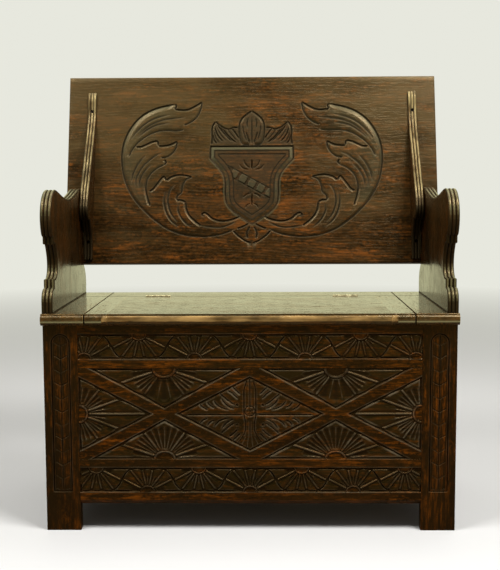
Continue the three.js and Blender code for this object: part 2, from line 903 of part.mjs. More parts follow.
// Side view of a cleat, with its length up the back and its depth in front of the face
function cleatOutline() {
  const lowerExit = THREE.MathUtils.degToRad(215);
  const upperExit = THREE.MathUtils.degToRad(80);
  const head = cleat.foot + cleat.length;
  const neck = head - cleat.neckBelowHead;
  const bulge = head - cleat.bulgeBelowHead;
  const lower = pivotUpTop - cleat.lowerBelowPeg;
  const noseCentre = pivotUpTop + cleat.noseAbovePeg;
  const noseCentreDepth = pivotToFace + cleat.noseBeforePeg;
  const shoulder = noseCentre + cleat.shoulderShare * (neck - noseCentre);
  const outline = new THREE.Shape();
  const noseX = noseCentre + cleat.noseRadius * Math.cos(lowerExit);
  const noseY = noseCentreDepth + cleat.noseRadius * Math.sin(lowerExit);
  outline.moveTo(cleat.foot, 0);
  outline.lineTo(cleat.foot, cleat.footDepth);
  outline.quadraticCurveTo((cleat.foot + lower) / 2, cleat.footDepth, lower, cleat.lowerDepth);
  outline.quadraticCurveTo(
    (lower + noseX) / 2, (cleat.lowerDepth + noseY) / 2 - cleat.reedDepth,
    noseX, noseY,
  );
  outline.absarc(noseCentre, noseCentreDepth, cleat.noseRadius, lowerExit, upperExit, true);
  const topX = noseCentre + cleat.noseRadius * Math.cos(upperExit);
  const topY = noseCentreDepth + cleat.noseRadius * Math.sin(upperExit);
  const handleShare = 1 / 3;
  const fallRun = handleShare * (shoulder - topX);
  const neckRun = handleShare * (neck - shoulder);
  const fall = (cleat.shoulderDepth - cleat.neckDepth) / (neck - shoulder);
  outline.bezierCurveTo(
    topX + fallRun, topY - fallRun / Math.tan(upperExit),
    shoulder - fallRun, cleat.shoulderDepth + fallRun * fall,
    shoulder, cleat.shoulderDepth,
  );
  outline.bezierCurveTo(
    shoulder + neckRun, cleat.shoulderDepth - neckRun * fall,
    neck - neckRun, cleat.neckDepth,
    neck, cleat.neckDepth,
  );
  outline.quadraticCurveTo((neck + bulge) / 2, cleat.neckDepth, bulge, cleat.bulgeDepth);
  outline.quadraticCurveTo(head, cleat.bulgeDepth, head, 0);
  outline.closePath();
  return outline;
}

// Places of the screws up the back, with the depth of the cleat's edge there
function screwPlaces() {
  return [
    { name: 'lower', up: screw.lowerHeight, edge: cleat.footDepth },
    { name: 'upper', up: cleat.foot + cleat.length - cleat.neckBelowHead, edge: cleat.neckDepth },
  ];
}

function headY(edge) {
  return pivotToFace - edge + screw.sinking;
}

function barAlongY(radius, x, y, z) {
  const geometry = new THREE.CylinderGeometry(radius, radius, y[1] - y[0], segments.small);
  geometry.translate(0, middle(y), 0);
  geometry.translate(x, 0, z);
  return geometry;
}

function screwHoles(x) {
  return screwPlaces().flatMap(({ up, edge }) => {
    const z = up - pivotUpTop;
    const seatY = headY(edge) + screw.headHeight + runningGap;
    const tip = headY(edge) + screw.length + runningGap;
    return [
      barAlongY(screw.headRadius + runningGap, x, [pivotToFace - edge - 2 * overrun, seatY], z),
      barAlongY(screw.shankRadius + runningGap, x, [seatY - overrun, tip], z),
    ];
  });
}

// The back, drawn round its pegs: z up its length, y behind the pegs
function tippingTop() {
  const group = new THREE.Group();
  const faceY = pivotToFace;
  const z = [-pivotUpTop, topHeight - pivotUpTop];
  const cleatX = (cleatInner + cleatOuter) / 2;
  const allHoles = sides.flatMap(({ sign }) => screwHoles(sign * cleatX));
  const topX = [-halfTop, halfTop];
  group.add(board('table_top', finish.back, topX, [faceY, faceY + topThickness], z, allHoles));
  for (const { name, sign } of sides) {
    const x = towards(sign, [cleatInner, cleatOuter]);
    const body = reeded(
      cleatOutline(), x, cleat.reeds, cleat.reedDepth, segments.cleatCurve,
    );
    // The outline runs up the back and forwards, so turn it to stand on the face
    body.rotateX(Math.PI / 2);
    body.translate(0, faceY - runningGap, -pivotUpTop);
    const bore = barAlongX(pegHole, grown(x, overrun), 0, 0, segments.round);
    const holes = screwHoles(sign * cleatX);
    group.add(named(`${name}_cleat`, cut(body, [bore, ...holes]), finish.arm));
    for (const place of screwPlaces()) {
      const start = headY(place.edge);
      const head = barAlongY(screw.headRadius, 0, [0, screw.headHeight], 0);
      const shank = barAlongY(screw.shankRadius, 0, [screw.headHeight / 2, screw.length], 0);
      const mesh = named(`${name}_cleat_${place.name}_screw`, join([head, shank]), finish.iron);
      mesh.position.set(sign * cleatX, start, place.up - pivotUpTop);
      group.add(mesh);
    }
  }
  group.position.set(0, pivotBehindFront, seatHeight + pivotAboveSeat);
  group.rotation.x = -topLean;
  return group;
}

const settle = new THREE.Group();
settle.add(legs());
settle.add(frontPanel());
settle.add(frontRails());
settle.add(rearFrame());
for (const side of sides) {
  settle.add(sideFrame(side));
}
settle.add(insideOfBox());
settle.add(fixedSeat());
settle.add(lid());
settle.add(hingeSeatParts());
settle.add(hingeLidParts());
settle.add(arms());
settle.add(pivotPegs());
settle.add(tippingTop());
settle.position.y = -middleDepth;

export default settle;
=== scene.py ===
"""Looks of a carved oak box settle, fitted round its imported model.

Carving is worked out in millimetres, as a depth below the face of each board. Blender's
own places are in metres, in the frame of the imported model.
"""
import json
import math

import bmesh
import bpy
import numpy as np
from mathutils import Matrix, Vector


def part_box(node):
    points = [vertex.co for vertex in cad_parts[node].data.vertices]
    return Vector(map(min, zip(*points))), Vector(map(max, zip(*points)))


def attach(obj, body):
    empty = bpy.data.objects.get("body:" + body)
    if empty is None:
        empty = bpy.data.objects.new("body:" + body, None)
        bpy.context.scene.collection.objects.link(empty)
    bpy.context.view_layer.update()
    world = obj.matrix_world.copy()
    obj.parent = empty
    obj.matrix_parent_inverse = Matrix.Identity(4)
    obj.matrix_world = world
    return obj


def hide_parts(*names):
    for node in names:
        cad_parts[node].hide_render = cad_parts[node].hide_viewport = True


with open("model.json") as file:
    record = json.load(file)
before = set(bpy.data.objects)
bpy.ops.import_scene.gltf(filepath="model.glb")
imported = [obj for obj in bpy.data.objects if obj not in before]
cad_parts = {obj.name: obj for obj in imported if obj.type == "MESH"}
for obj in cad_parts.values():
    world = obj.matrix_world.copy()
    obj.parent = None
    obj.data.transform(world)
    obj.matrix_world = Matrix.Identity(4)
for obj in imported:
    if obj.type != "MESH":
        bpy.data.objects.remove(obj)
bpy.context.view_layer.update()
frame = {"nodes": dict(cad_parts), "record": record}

MM = 0.001
SIDES = {"left": -1, "right": 1}

# Camera, in metres, radians and pixels of the photograph's frame
PHOTO_HEIGHT_PX = 570
FOCAL_PX = 1024.76
CAMERA_PLACE = (0.03502, -2.37243, 0.73932)
CAMERA_YAW = 0.0159
CAMERA_PITCH = 0.101
CAMERA_ROLL = 0.0042
SENSOR_WIDTH = 36.0


def make_camera():
    data = bpy.data.cameras.new("camera")
    data.sensor_width = SENSOR_WIDTH
    data.lens = SENSOR_WIDTH * FOCAL_PX / PHOTO_HEIGHT_PX
    camera = bpy.data.objects.new("camera", data)
    bpy.context.scene.collection.objects.link(camera)
    turn = Matrix.Rotation(CAMERA_YAW, 4, "Z")
    turn = turn @ Matrix.Rotation(math.pi / 2 - CAMERA_PITCH, 4, "X")
    turn = turn @ Matrix.Rotation(-CAMERA_ROLL, 4, "Z")
    camera.matrix_world = Matrix.Translation(CAMERA_PLACE) @ turn
    bpy.context.scene.camera = camera


make_camera()
bpy.context.scene.view_settings.view_transform = "Standard"


# Shader nodes
class Shader:
    """The nodes of a material or the world, with one call for each that is added."""

    def __init__(self, owner):
        owner.use_nodes = True
        self.owner = owner
        self.tree = owner.node_tree
        self.tree.nodes.clear()

    def add(self, kind, inputs=None, **settings):
        made = self.tree.nodes.new("ShaderNode" + kind)
        for key, value in settings.items():
            setattr(made, key, value)
        for key, value in (inputs or {}).items():
            if isinstance(value, bpy.types.NodeSocket):
                self.tree.links.new(value, made.inputs[key])
            else:
                made.inputs[key].default_value = value
        return made

    def math(self, operation, first, second=0.0, clamp=False):
        made = self.add("Math", {0: first, 1: second}, operation=operation, use_clamp=clamp)
        return made.outputs[0]

    def plus(self, first, second, clamp=False):
        return self.math("ADD", first, second, clamp)

    def minus(self, first, second):
        return self.math("SUBTRACT", first, second)

    def times(self, first, second, clamp=False):
        return self.math("MULTIPLY", first, second, clamp)

    def larger(self, first, second):
        return self.math("MAXIMUM", first, second)

    def size(self, value):
        return self.math("ABSOLUTE", value)

    def vector(self, operation, first, second=(0.0, 0.0, 0.0)):
        made = self.add("VectorMath", {0: first, 1: second}, operation=operation)
        return made.outputs["Value" if operation == "LENGTH" else "Vector"]

    def mix(self, factor, first, second, blend="MIX"):
        inputs = {0: factor, 6: first, 7: second}
        return self.add("Mix", inputs, data_type="RGBA", blend_type=blend).outputs[2]

    def spread(self, value, low, high, to_low=0.0, to_high=1.0):
        ends = {"From Min": low, "From Max": high, "To Min": to_low, "To Max": to_high}
        return self.add("MapRange", {"Value": value, **ends}).outputs["Result"]

    def noise(self, place, stretch, shift, detail=2.0, roughness=0.5):
        look = {"W": shift, "Scale": 1.0, "Detail": detail, "Roughness": roughness}
        look["Vector"] = self.vector("MULTIPLY", place, stretch)
        return self.add("TexNoise", look, noise_dimensions="4D").outputs["Fac"]

    def attribute(self, name):
        return self.add("Attribute", attribute_name=name).outputs["Fac"]

    def bump(self, height, strength, distance):
        made = self.add("Bump", {"Strength": strength, "Distance": distance, "Height": height})
        return made.outputs["Normal"]

    def surface(self, color, roughness, normal, more):
        look = {"Base Color": color, "Roughness": roughness, "Normal": normal, **more}
        return self.add("BsdfPrincipled", look).outputs[0]

    def background(self, color, strength):
        return self.add("Background", {"Color": color, "Strength": strength}).outputs[0]

    def either(self, factor, first, second):
        return self.add("MixShader", {0: factor, 1: first, 2: second}).outputs[0]

    def where(self):
        return self.add("TexCoord").outputs["Object"]

    def finish(self, kind, surface):
        self.add("Output" + kind, {"Surface": surface})
        return self.owner


# Oak. The grain runs along the first axis after the turn that is named here.
mounts = {mount["name"]: mount for mount in frame["record"]["mounts"]}
TABLE_NORMAL = Vector(mounts["table_surface"]["axis"])
LEAN = math.atan2(-TABLE_NORMAL.z, TABLE_NORMAL.y)
GRAIN_TURNS = {
    "across": (0.0, 0.0, 0.0),
    "deep": (0.0, 0.0, -math.pi / 2),
    "upright": (0.0, math.pi / 2, 0.0),
    "leaning": (LEAN, math.pi / 2, 0.0),
}
FINE_FIGURE = {"streak_scale": (15.0, 210.0, 210.0), "fleck_scale": (34.0, 130.0, 130.0)}
# worn is the colour of bare wood and painted highlights, dust that of pale bloom and painted sheen,
# and haze_and_sheen that of a film and, on the back, a painted sheen
OAKS = {
    "carved_oak": {
        "dark": (0.0078, 0.0028, 0.0004, 1), "middle": (0.027, 0.009, 0.0009, 1),
        "rust": (0.2, 0.052, 0.0025, 1), "wax": (0.0006, 0.0004, 0.0001, 1),
        "worn": (0.26, 0.215, 0.14, 1), "haze_and_sheen": (0.02, 0.0112, 0.0028, 1),
        "dust": (0.015, 0.012, 0.003, 1), "worn_and_highlight_share": 0.44, "rust_amount": 0.75,
        "haze_and_sheen_amount": 0.45, "roughness": 0.25, "specular": 0.32,
        "tint": (1.0, 0.6, 0.23, 1), "streak_scale": (20.0, 190.0, 190.0),
        "fleck_scale": (40.0, 140.0, 140.0),
    },
    "side_oak": {
        "dark": (0.011, 0.005, 0.0008, 1), "middle": (0.033, 0.0135, 0.0018, 1),
        "rust": (0.11, 0.036, 0.0035, 1), "wax": (0.003, 0.0018, 0.0005, 1),
        "worn": (0.11, 0.062, 0.026, 1), "haze_and_sheen": (0.028, 0.02, 0.008, 1),
        "dust": (0.06, 0.058, 0.03, 1), "worn_and_highlight_share": 0.5, "rust_amount": 0.4,
        "haze_and_sheen_amount": 0.4, "roughness": 0.36, "specular": 0.25,
        "tint": (1.0, 0.72, 0.36, 1),
    },
    "inner_oak": {
        "dark": (0.08, 0.045, 0.022, 1), "middle": (0.18, 0.11, 0.058, 1),
        "rust": (0.23, 0.13, 0.06, 1), "wax": (0.03, 0.018, 0.01, 1),
        "worn": (0.26, 0.18, 0.11, 1), "haze_and_sheen": (0.15, 0.11, 0.07, 1),
        "dust": (0.2, 0.17, 0.12, 1), "worn_and_highlight_share": 0.5, "rust_amount": 0.3,
        "haze_and_sheen_amount": 0.3, "roughness": 0.75, "specular": 0.25,
        "tint": (1.0, 0.86, 0.62, 1),
    },
    "seat_oak": {
        "dark": (0.016, 0.0075, 0.0014, 1), "middle": (0.045, 0.02, 0.0036, 1),
        "rust": (0.14, 0.05, 0.006, 1), "wax": (0.005, 0.0035, 0.001, 1),
        "worn": (0.5, 0.3, 0.105, 1), "haze_and_sheen": (0.06, 0.045, 0.018, 1),
        "dust": (0.36, 0.34, 0.18, 1), "worn_and_highlight_share": 0.85, "rust_amount": 0.5,
        "haze_and_sheen_amount": 0.4, "roughness": 0.15, "specular": 0.5,
        "tint": (1.0, 0.8, 0.48, 1),
    },
    "arm_oak": {
        "dark": (0.009, 0.004, 0.0007, 1), "middle": (0.032, 0.012, 0.0016, 1),
        "rust": (0.12, 0.034, 0.0035, 1), "wax": (0.0008, 0.0006, 0.0002, 1),
        "worn": (0.37, 0.285, 0.13, 1), "haze_and_sheen": (0.026, 0.019, 0.007, 1),
        "dust": (0.235, 0.245, 0.125, 1), "worn_and_highlight_share": 0.9, "rust_amount": 0.45,
        "haze_and_sheen_amount": 0.3, "roughness": 0.2, "specular": 0.4,
        "tint": (1.0, 0.72, 0.36, 1),
    },
    "back_oak": {
        "dark": (0.017, 0.0074, 0.0016, 1), "middle": (0.056, 0.023, 0.0048, 1),
        "rust": (0.165, 0.05, 0.007, 1), "wax": (0.001, 0.0008, 0.0003, 1),
        "worn": (0.15, 0.135, 0.075, 1), "haze_and_sheen": (0.078, 0.05, 0.018, 1),
        "dust": (0.075, 0.08, 0.043, 1), "worn_and_highlight_share": 0.2, "rust_amount": 0.62,
        "haze_and_sheen_amount": 0.65, "roughness": 0.27, "specular": 0.32,
        "tint": (1.0, 0.75, 0.4, 1), "streak_scale": (19.0, 115.0, 115.0),
        "fleck_scale": (60.0, 100.0, 100.0),
    },
}
WORN_AND_HIGHLIGHT_LEAST = 0.15
BUMP_HEIGHT_M = 0.0004

# Stretch of each noise, along the grain and across it
SWAY = (1.6, 5.0, 5.0)
BROAD = (4.0, 24.0, 24.0)
FILM = (4.5, 11.0, 11.0)
PORES = (30.0, 900.0, 900.0)
SPECKS = (110.0, 170.0, 170.0)
WEAR_PATCHES = (14.0, 60.0, 60.0)
RUST_PATCHES = (8.0, 22.0, 22.0)

# Growth rings, in metres
RING_SPACING_M = 0.0045
BACK_RING_SPACING_M = 0.0078
RING_SWAY_M = 0.022
PITH_DEPTH_M = 0.085
PITH_SPREAD_M = (0.0, 0.12, 0.06)

# Strength of each part of the colour
SPECK = 0.16
FLECK = 0.6
RUST_GAIN = 1.6
RING_TONES = (0.72, 1.18)
PORE_WAX = 0.55
DUST_AND_SHEEN_SHARE = 0.75
HOLLOW_WAX_AND_SHADE = 0.92
ARRIS_WEAR = 0.4

# Painted sheen on the back: stronger high up and towards the ends
SHEEN_RISE = 0.45
SHEEN_LEVEL_M = 0.76
SHEEN_HALF_M = 0.2
SHEEN_NEAR_M = 0.06
SHEEN_FAR_M = 0.34
SHEEN_SHARE = 0.3

# Painted highlights on the seat's nose and bead, painted shade along its joints, and painted shadow
# at the foot of the arms
SEAT_LEVEL_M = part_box("lid_board")[1].z
FOOT_SHADE_M = 0.0035
NOSE_DEPTH_M = 0.0055
NOSE_HIGHLIGHT_SHARE = 0.42
NOSE_FADE_M = 0.002
NOSE_WAVE_M = 0.004
END_NOSE_SHARE = 0.12
BEAD_LEVEL_M = 0.4490
BEAD_HALF_M = 0.0022
JOINT_SHADE_M = 0.0021
REAR_SHADE_M = 0.0035
made_oaks = {}


def oak(slot, grain, rubbed=0.0):
    """The oak of a slot with its grain along one direction, made once for each pair.

    rubbed is the wear that it has all over, for the arrises of plain boards.
    """
    key = slot, grain, rubbed
    if key not in made_oaks:
        made_oaks[key] = make_oak(slot, grain, rubbed)
    return made_oaks[key]


def make_oak(slot, grain, rubbed):
    look = {**FINE_FIGURE, **OAKS[slot]}
    name = f"{slot}_{grain}" + ("_arris" if rubbed else "")
    shader = Shader(bpy.data.materials.new(name))
    spot = shader.add("SeparateXYZ", {0: shader.where()}).outputs
    turned = shader.add("Mapping", {"Vector": shader.where(), "Rotation": GRAIN_TURNS[grain]})
    place = turned.outputs["Vector"]
    board = shader.add("ObjectInfo").outputs["Object Index"]
    spacing = BACK_RING_SPACING_M if slot == "back_oak" else RING_SPACING_M
    ring = growth_ring(shader, place, board, spacing)
    broad = shader.noise(place, BROAD, board, 4.0, 0.6)
    streak = shader.noise(place, look["streak_scale"], board, 4.0, 0.65)
    fine = shader.noise(place, PORES, board, 2.0)
    pores = shader.spread(shader.minus(fine, shader.times(ring, 0.08)), 0.40, 0.30)
    patchy = shader.noise(place, WEAR_PATCHES, board, 3.0)
    hollow, worn, dust = (shader.attribute(part) for part in ("hollow", "worn", "dust"))
    worn = shader.plus(worn, rubbed)
    # Painted shadow along the foot of the arms, where they stand on the seat
    if slot == "arm_oak":
        foot = shader.spread(spot["Z"], SEAT_LEVEL_M + FOOT_SHADE_M, SEAT_LEVEL_M + FOOT_SHADE_M / 2)
        hollow = shader.larger(hollow, foot)
    # Painted highlights on the seat's nose and on the bead at its ends, and painted shade along the
    # joints round the lid
    if slot == "seat_oak":
        dust = bead_highlight(shader, spot)
        worn = shader.plus(worn, nose_highlight(shader, spot, patchy))
        hollow = shader.larger(hollow, joint_shade(shader, spot))

    color = wood_color(shader, slot, look, place, board, broad, streak)
    figure = shader.spread(ring, 0.0, 1.0, *RING_TONES)
    figure = shader.add("CombineColor", {0: figure, 1: figure, 2: figure}).outputs[0]
    color = shader.mix(1.0, color, figure, "MULTIPLY")
    color = shader.mix(shader.times(pores, PORE_WAX), color, look["wax"])
    film = shader.noise(place, FILM, board, 3.0, 0.55)
    # The back's film carries a painted sheen, stronger high up and towards its ends
    if slot == "back_oak":
        film = shader.plus(film, back_sheen(shader, spot))
    haze_and_sheen = shader.times(shader.spread(film, 0.42, 0.66), look["haze_and_sheen_amount"])
    color = shader.mix(haze_and_sheen, color, look["haze_and_sheen"])
    color = shader.mix(shader.times(dust, DUST_AND_SHEEN_SHARE), color, look["dust"])
    wear_and_highlight = shader.spread(patchy, 0.38, 0.62, WORN_AND_HIGHLIGHT_LEAST, 1.0)
    wear_and_highlight = shader.times(worn, shader.times(wear_and_highlight, look["worn_and_highlight_share"]), clamp=True)
    color = shader.mix(wear_and_highlight, color, look["worn"])
    color = shader.mix(shader.times(hollow, HOLLOW_WAX_AND_SHADE), color, look["wax"])

    matt = shader.plus(shader.times(pores, 0.2), shader.times(hollow, 0.45))
    rough = shader.spread(broad, 0.3, 0.7, look["roughness"] - 0.06, look["roughness"] + 0.06)
    return shader.finish("Material", shader.surface(
        color, shader.plus(rough, matt, clamp=True),
        shader.bump(shader.minus(shader.times(streak, 0.35), pores), 0.25, BUMP_HEIGHT_M),
        {"Specular IOR Level": look["specular"], "Specular Tint": look["tint"]},
    ))


def growth_ring(shader, place, board, spacing):
    """Rings round a pith a hand's breadth behind each board, from none to one."""
    chance = shader.add("TexWhiteNoise", {"W": board}, noise_dimensions="1D").outputs["Color"]
    pith = shader.vector("MULTIPLY", chance, PITH_SPREAD_M)
    pith = shader.vector("ADD", pith, (0.0, -PITH_SPREAD_M[1] / 2, PITH_DEPTH_M))
    sway = shader.noise(place, SWAY, board, 3.0)
    sway = shader.spread(sway, 0.3, 0.7, -RING_SWAY_M, RING_SWAY_M)
    radial = shader.vector("MULTIPLY", shader.vector("ADD", place, pith), (0.0, 1.0, 1.0))
    radius = shader.plus(shader.vector("LENGTH", radial), sway)
    wave = shader.math("SINE", shader.times(radius, 2 * math.pi / spacing))
    return shader.spread(wave, -1.0, 1.0)


def wood_color(shader, slot, look, place, board, broad, streak):
    """Dark to middle brown in flecks, with rust-red streaks."""
    fleck = shader.noise(place, look["fleck_scale"], board, 3.0, 0.6)
    speck = shader.spread(shader.noise(place, SPECKS, board, 2.0, 0.6), 0.3, 0.7, -SPECK, SPECK)
    tone = shader.plus(shader.plus(broad, shader.times(fleck, FLECK)), speck)
    color = shader.mix(shader.spread(tone, 0.64, 0.98), look["dark"], look["middle"])
    rusty = shader.times(shader.spread(streak, 0.46, 0.66), shader.spread(tone, 0.66, 0.92))
    if slot == "back_oak":
        patches = shader.noise(place, RUST_PATCHES, board, 2.0, 0.5)
        rusty = shader.times(rusty, shader.spread(patches, 0.40, 0.60, 0.35, 1.6))
    rusty = shader.times(rusty, look["rust_amount"] * RUST_GAIN, clamp=True)
    return shader.mix(rusty, color, look["rust"])


# Painted sheen of the back, by its height and by the distance from its middle
def back_sheen(shader, spot):
    levels = (SHEEN_LEVEL_M - SHEEN_HALF_M, SHEEN_LEVEL_M + SHEEN_HALF_M)
    risen = shader.spread(spot["Z"], *levels, -SHEEN_RISE, SHEEN_RISE)
    off = shader.size(spot["X"])
    outward = shader.spread(off, SHEEN_NEAR_M, SHEEN_FAR_M, -SHEEN_RISE, SHEEN_RISE / 2)
    return shader.times(shader.plus(risen, outward), SHEEN_SHARE)


def front_edge(shader, spot):
    """The moulded front edge of the seat."""
    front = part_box("lid_board")[0].y
    return shader.spread(spot["Y"], front + NOSE_DEPTH_M, front + NOSE_DEPTH_M / 2)


def past_lid(shader, spot, within=0.0, past=1.0):
    """One value within the width of the lid's main board and another past its ends."""
    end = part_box("lid_board")[1].x
    return shader.spread(shader.size(spot["X"]), end - NOSE_FADE_M, end, within, past)


def nose_highlight(shader, spot, patchy):
    """Painted highlight on the upper half of the seat's front edge."""
    low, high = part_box("lid_board")
    level = shader.plus(spot["Z"], shader.times(patchy, NOSE_WAVE_M))
    lower = low.z + NOSE_HIGHLIGHT_SHARE * (high.z - low.z)
    upper = shader.spread(level, lower, lower + NOSE_FADE_M)
    main = past_lid(shader, spot, 1.0, END_NOSE_SHARE)
    return shader.times(front_edge(shader, spot), shader.times(upper, main))


def bead_highlight(shader, spot):
    """Painted highlight on the bead under the seat's edge, at the clamps and the end boards."""
    off = shader.size(shader.minus(spot["Z"], BEAD_LEVEL_M))
    bead = shader.spread(off, BEAD_HALF_M, BEAD_HALF_M / 2)
    return shader.times(front_edge(shader, spot), shader.times(bead, past_lid(shader, spot)))


def joint_shade(shader, spot):
    """Painted shade along the joints round the lid."""
    side = shader.minus(shader.size(spot["X"]), -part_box("lid_left_clamp")[0].x)
    side = shader.spread(shader.size(side), JOINT_SHADE_M, JOINT_SHADE_M / 2)
    rear = shader.minus(spot["Y"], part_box("lid_board")[1].y)
    rear = shader.spread(shader.size(rear), REAR_SHADE_M, REAR_SHADE_M / 2)
    return shader.larger(side, rear)


def metal(name, bright, dull, roughness):
    """Old metal: bare where it rubs and tarnished in patches."""
    shader = Shader(bpy.data.materials.new(name))
    patches = shader.noise(shader.where(), (160.0, 160.0, 160.0), 0.0, 4.0, 0.6)
    scratches = shader.noise(shader.where(), (90.0, 1400.0, 1400.0), 0.0, 1.0)
    tarnish = shader.spread(patches, 0.42, 0.62)
    height = shader.plus(patches, shader.times(scratches, 0.3))
    return shader.finish("Material", shader.surface(
        shader.mix(tarnish, bright, dull),
        shader.spread(tarnish, 0.0, 1.0, roughness, roughness + 0.25),
        shader.bump(height, 0.3, BUMP_HEIGHT_M / 2),
        {"Metallic": 1.0},
    ))


brass = metal("hinge_brass", (0.42, 0.38, 0.23, 1), (0.28, 0.24, 0.14, 1), 0.40)
iron = metal("screw_iron", (0.020, 0.016, 0.013, 1), (0.006, 0.004, 0.003, 1), 0.6)


# Meshes
def new_object(name, vertices, faces, smooth=True):
    mesh = bpy.data.meshes.new(name)
    mesh.from_pydata(vertices, [], faces)
    mesh.validate()
    mesh.polygons.foreach_set("use_smooth", [smooth] * len(mesh.polygons))
    mesh.update()
    piece = bpy.data.objects.new(name, mesh)
    bpy.context.scene.collection.objects.link(piece)
    return piece


def add_attribute(mesh, name, domain, values):
    attribute = mesh.attributes.new(name, "FLOAT", domain)
    attribute.data.foreach_set("value", np.asarray(values, np.float32))


def dress(piece, body, material, nodes, board=0):
    """Gives a new piece its material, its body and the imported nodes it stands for."""
    piece.data.materials.append(material)
    piece.pass_index = board
    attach(piece, body)
    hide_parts(*nodes)


# Relief carving
INK_REACH = 2.4
GROUND_DIRT = 0.05
STEEPNESS_INK = 0.8
BLOOM_START = 0.15
BLOOM_RUN = 0.5


def smooth_step(x):
    x = np.clip(x, 0, 1)
    return x * x * (3 - 2 * x)


def arc(x):
    """Height of a half circle, at a share of its radius from the middle."""
    return np.sqrt(np.clip(1 - x**2, 0, 1))


def trench(distance, width, depth):
    """Depth of a V cut, by the distance from its line."""
    return depth * np.clip(1 - np.abs(distance) / width, 0, 1)


def near_line(distance, reach):
    """One along a line, and less from half the reach on, by the distance from it."""
    return np.clip(1.5 - np.abs(distance) / reach, 0, 1)


def curve(points, steps=6):
    """A smooth line through the points."""
    points = np.asarray(points, float)
    if len(points) < 3:
        return points
    padded = np.vstack([2 * points[0] - points[1], points, 2 * points[-1] - points[-2]])
    t = np.arange(steps)[:, None] / steps
    parts = []
    for a, b, c, d in zip(padded, padded[1:], padded[2:], padded[3:]):
        parts.append(
            0.5 * (2 * b + (c - a) * t + (2 * a - 5 * b + 4 * c - d) * t**2
                   + (3 * b - a - 3 * c + d) * t**3)
        )
    return np.vstack(parts + [points[-1:]])


class Relief:
    """The face of a board as a grid, with the depth of the carving at each point of it.

    ink is the amount of old dark wax and of the painted shadow under the seat, dust
    that of pale bloom and painted sheen, and wear_and_highlight that of bare wood and painted
    highlights.
    """

    def __init__(self, u_lines, v_lines):
        self.u, self.v = np.meshgrid(u_lines, v_lines)
        self.depth, self.ink, self.dust, self.wear_and_highlight = np.zeros((4, *self.u.shape))

    def lift(self, field, values, where=True):
        """Lifts one of the fields to the values, where they are the higher."""
        old = getattr(self, field)
        setattr(self, field, np.where(where, np.maximum(old, values), old))

    def deepen(self, depth, where=True):
        self.lift("depth", depth, where)

    def darken(self, distance, reach, where=True, amount=1.0):
        """Old wax in the foot of a cut by the distance from it; also the painted shadow under the
        seat.
        """
        self.lift("ink", amount * near_line(distance, reach), where)

    def rub(self, distance, reach, amount, where=True):
        """Bare wood along an arris, by the distance from it."""
        self.lift("wear_and_highlight", amount * near_line(distance, reach), where)

    def near(self, points, reach):
        """The part of the grid round some points, as a pair of slices."""
        low, high = points.min(0) - reach, points.max(0) + reach
        columns = np.searchsorted(self.u[0], (low[0], high[0]))
        rows = np.searchsorted(self.v[:, 0], (low[1], high[1]))
        return slice(*rows), slice(*columns)

    def cut(self, points, depth, left, right, fade=0.12, add=False, ink=0.0, dust=0.0, taper=0.0,
            reach=INK_REACH, highlight_wide=0.0, highlight_narrow=0.0):
        """A cut along a line, with the width of its slope on each side of it.

        With add it is sunk into the carving that is there, and else the deeper of the two
        stays. ink is the amount of wax along the line, and reach how far it goes. dust
        is that of the pale bloom and painted sheen on the wider slope, and taper the share of
        that slope's width and of that bloom and sheen that is lost towards the end. highlight_wide
        and highlight_narrow are the painted highlights on the two slopes.
        """
        area = self.near(points, max(left, right) + 2 * INK_REACH)
        distance, side, share = path_distance(self.u[area], self.v[area], points)
        width = np.where(side > 0, left, right)
        wide = (width > min(left, right)) | (left == right)
        tapered = 1 - taper * smooth_step((share - BLOOM_START) / BLOOM_RUN)
        width = np.where(wide, width * tapered, width)
        ends = np.clip(np.minimum(share, 1 - share) / fade, 0, 1) ** 0.5
        sunk = depth * ends * np.clip(1 - distance / (width * (0.35 + 0.65 * ends)), 0, 1)
        bloom_and_sheen = dust * ends * wide * tapered**2 * np.clip(1.4 - 1.4 * distance / width, 0, 1)
        wear_and_highlight = np.where(wide, highlight_wide, highlight_narrow)
        for field, values in (
            (self.depth, sunk + self.depth[area] if add else sunk),
            (self.ink, ink * ends * near_line(distance, reach)),
            (self.dust, bloom_and_sheen),
            (self.wear_and_highlight, wear_and_highlight * ends * np.clip(1.6 - 1.6 * distance / width, 0, 1)),
        ):
            field[area] = np.maximum(field[area], values)

    def round_edges(self, radius):
        """Rounds the arris all round the board's face."""
        u, v = self.u, self.v
        edge = np.minimum(np.minimum(u - u.min(), u.max() - u), np.minimum(v - v.min(), v.max() - v))
        inward = radius - np.clip(edge, 0, radius)
        self.depth += radius - np.sqrt(radius**2 - inward**2)


def path_distance(u, v, points):
    """Distance to a line of points, the side that it lies on, and the share along the line."""
    best = np.full(u.shape, np.inf)
    side, share = np.zeros((2, *u.shape))
    steps = np.hypot(*np.diff(points, axis=0).T)
    starts = np.concatenate([[0], np.cumsum(steps)])
    for a, b, step, start in zip(points, points[1:], steps, starts):
        du, dv = (b - a) / step
        along = np.clip((u - a[0]) * du + (v - a[1]) * dv, 0, step)
        off_u = u - a[0] - along * du
        off_v = v - a[1] - along * dv
        distance = np.hypot(off_u, off_v)
        closer = distance < best
        best = np.where(closer, distance, best)
        side = np.where(closer, du * off_v - dv * off_u, side)
        share = np.where(closer, (start + along) / starts[-1], share)
    return best, side, share


def inside_distance(u, v, corners):
    """Distance to the sides of a convex outline, above zero inside it."""
    corners = np.asarray(corners, float)
    if np.cross(corners[1] - corners[0], corners[2] - corners[1]) < 0:
        corners = corners[::-1]
    found = np.full(u.shape, np.inf)
    for a, b in zip(corners, np.roll(corners, -1, axis=0)):
        du, dv = (b - a) / np.hypot(*(b - a))
        found = np.minimum(found, du * (v - a[1]) - dv * (u - a[0]))
    return found


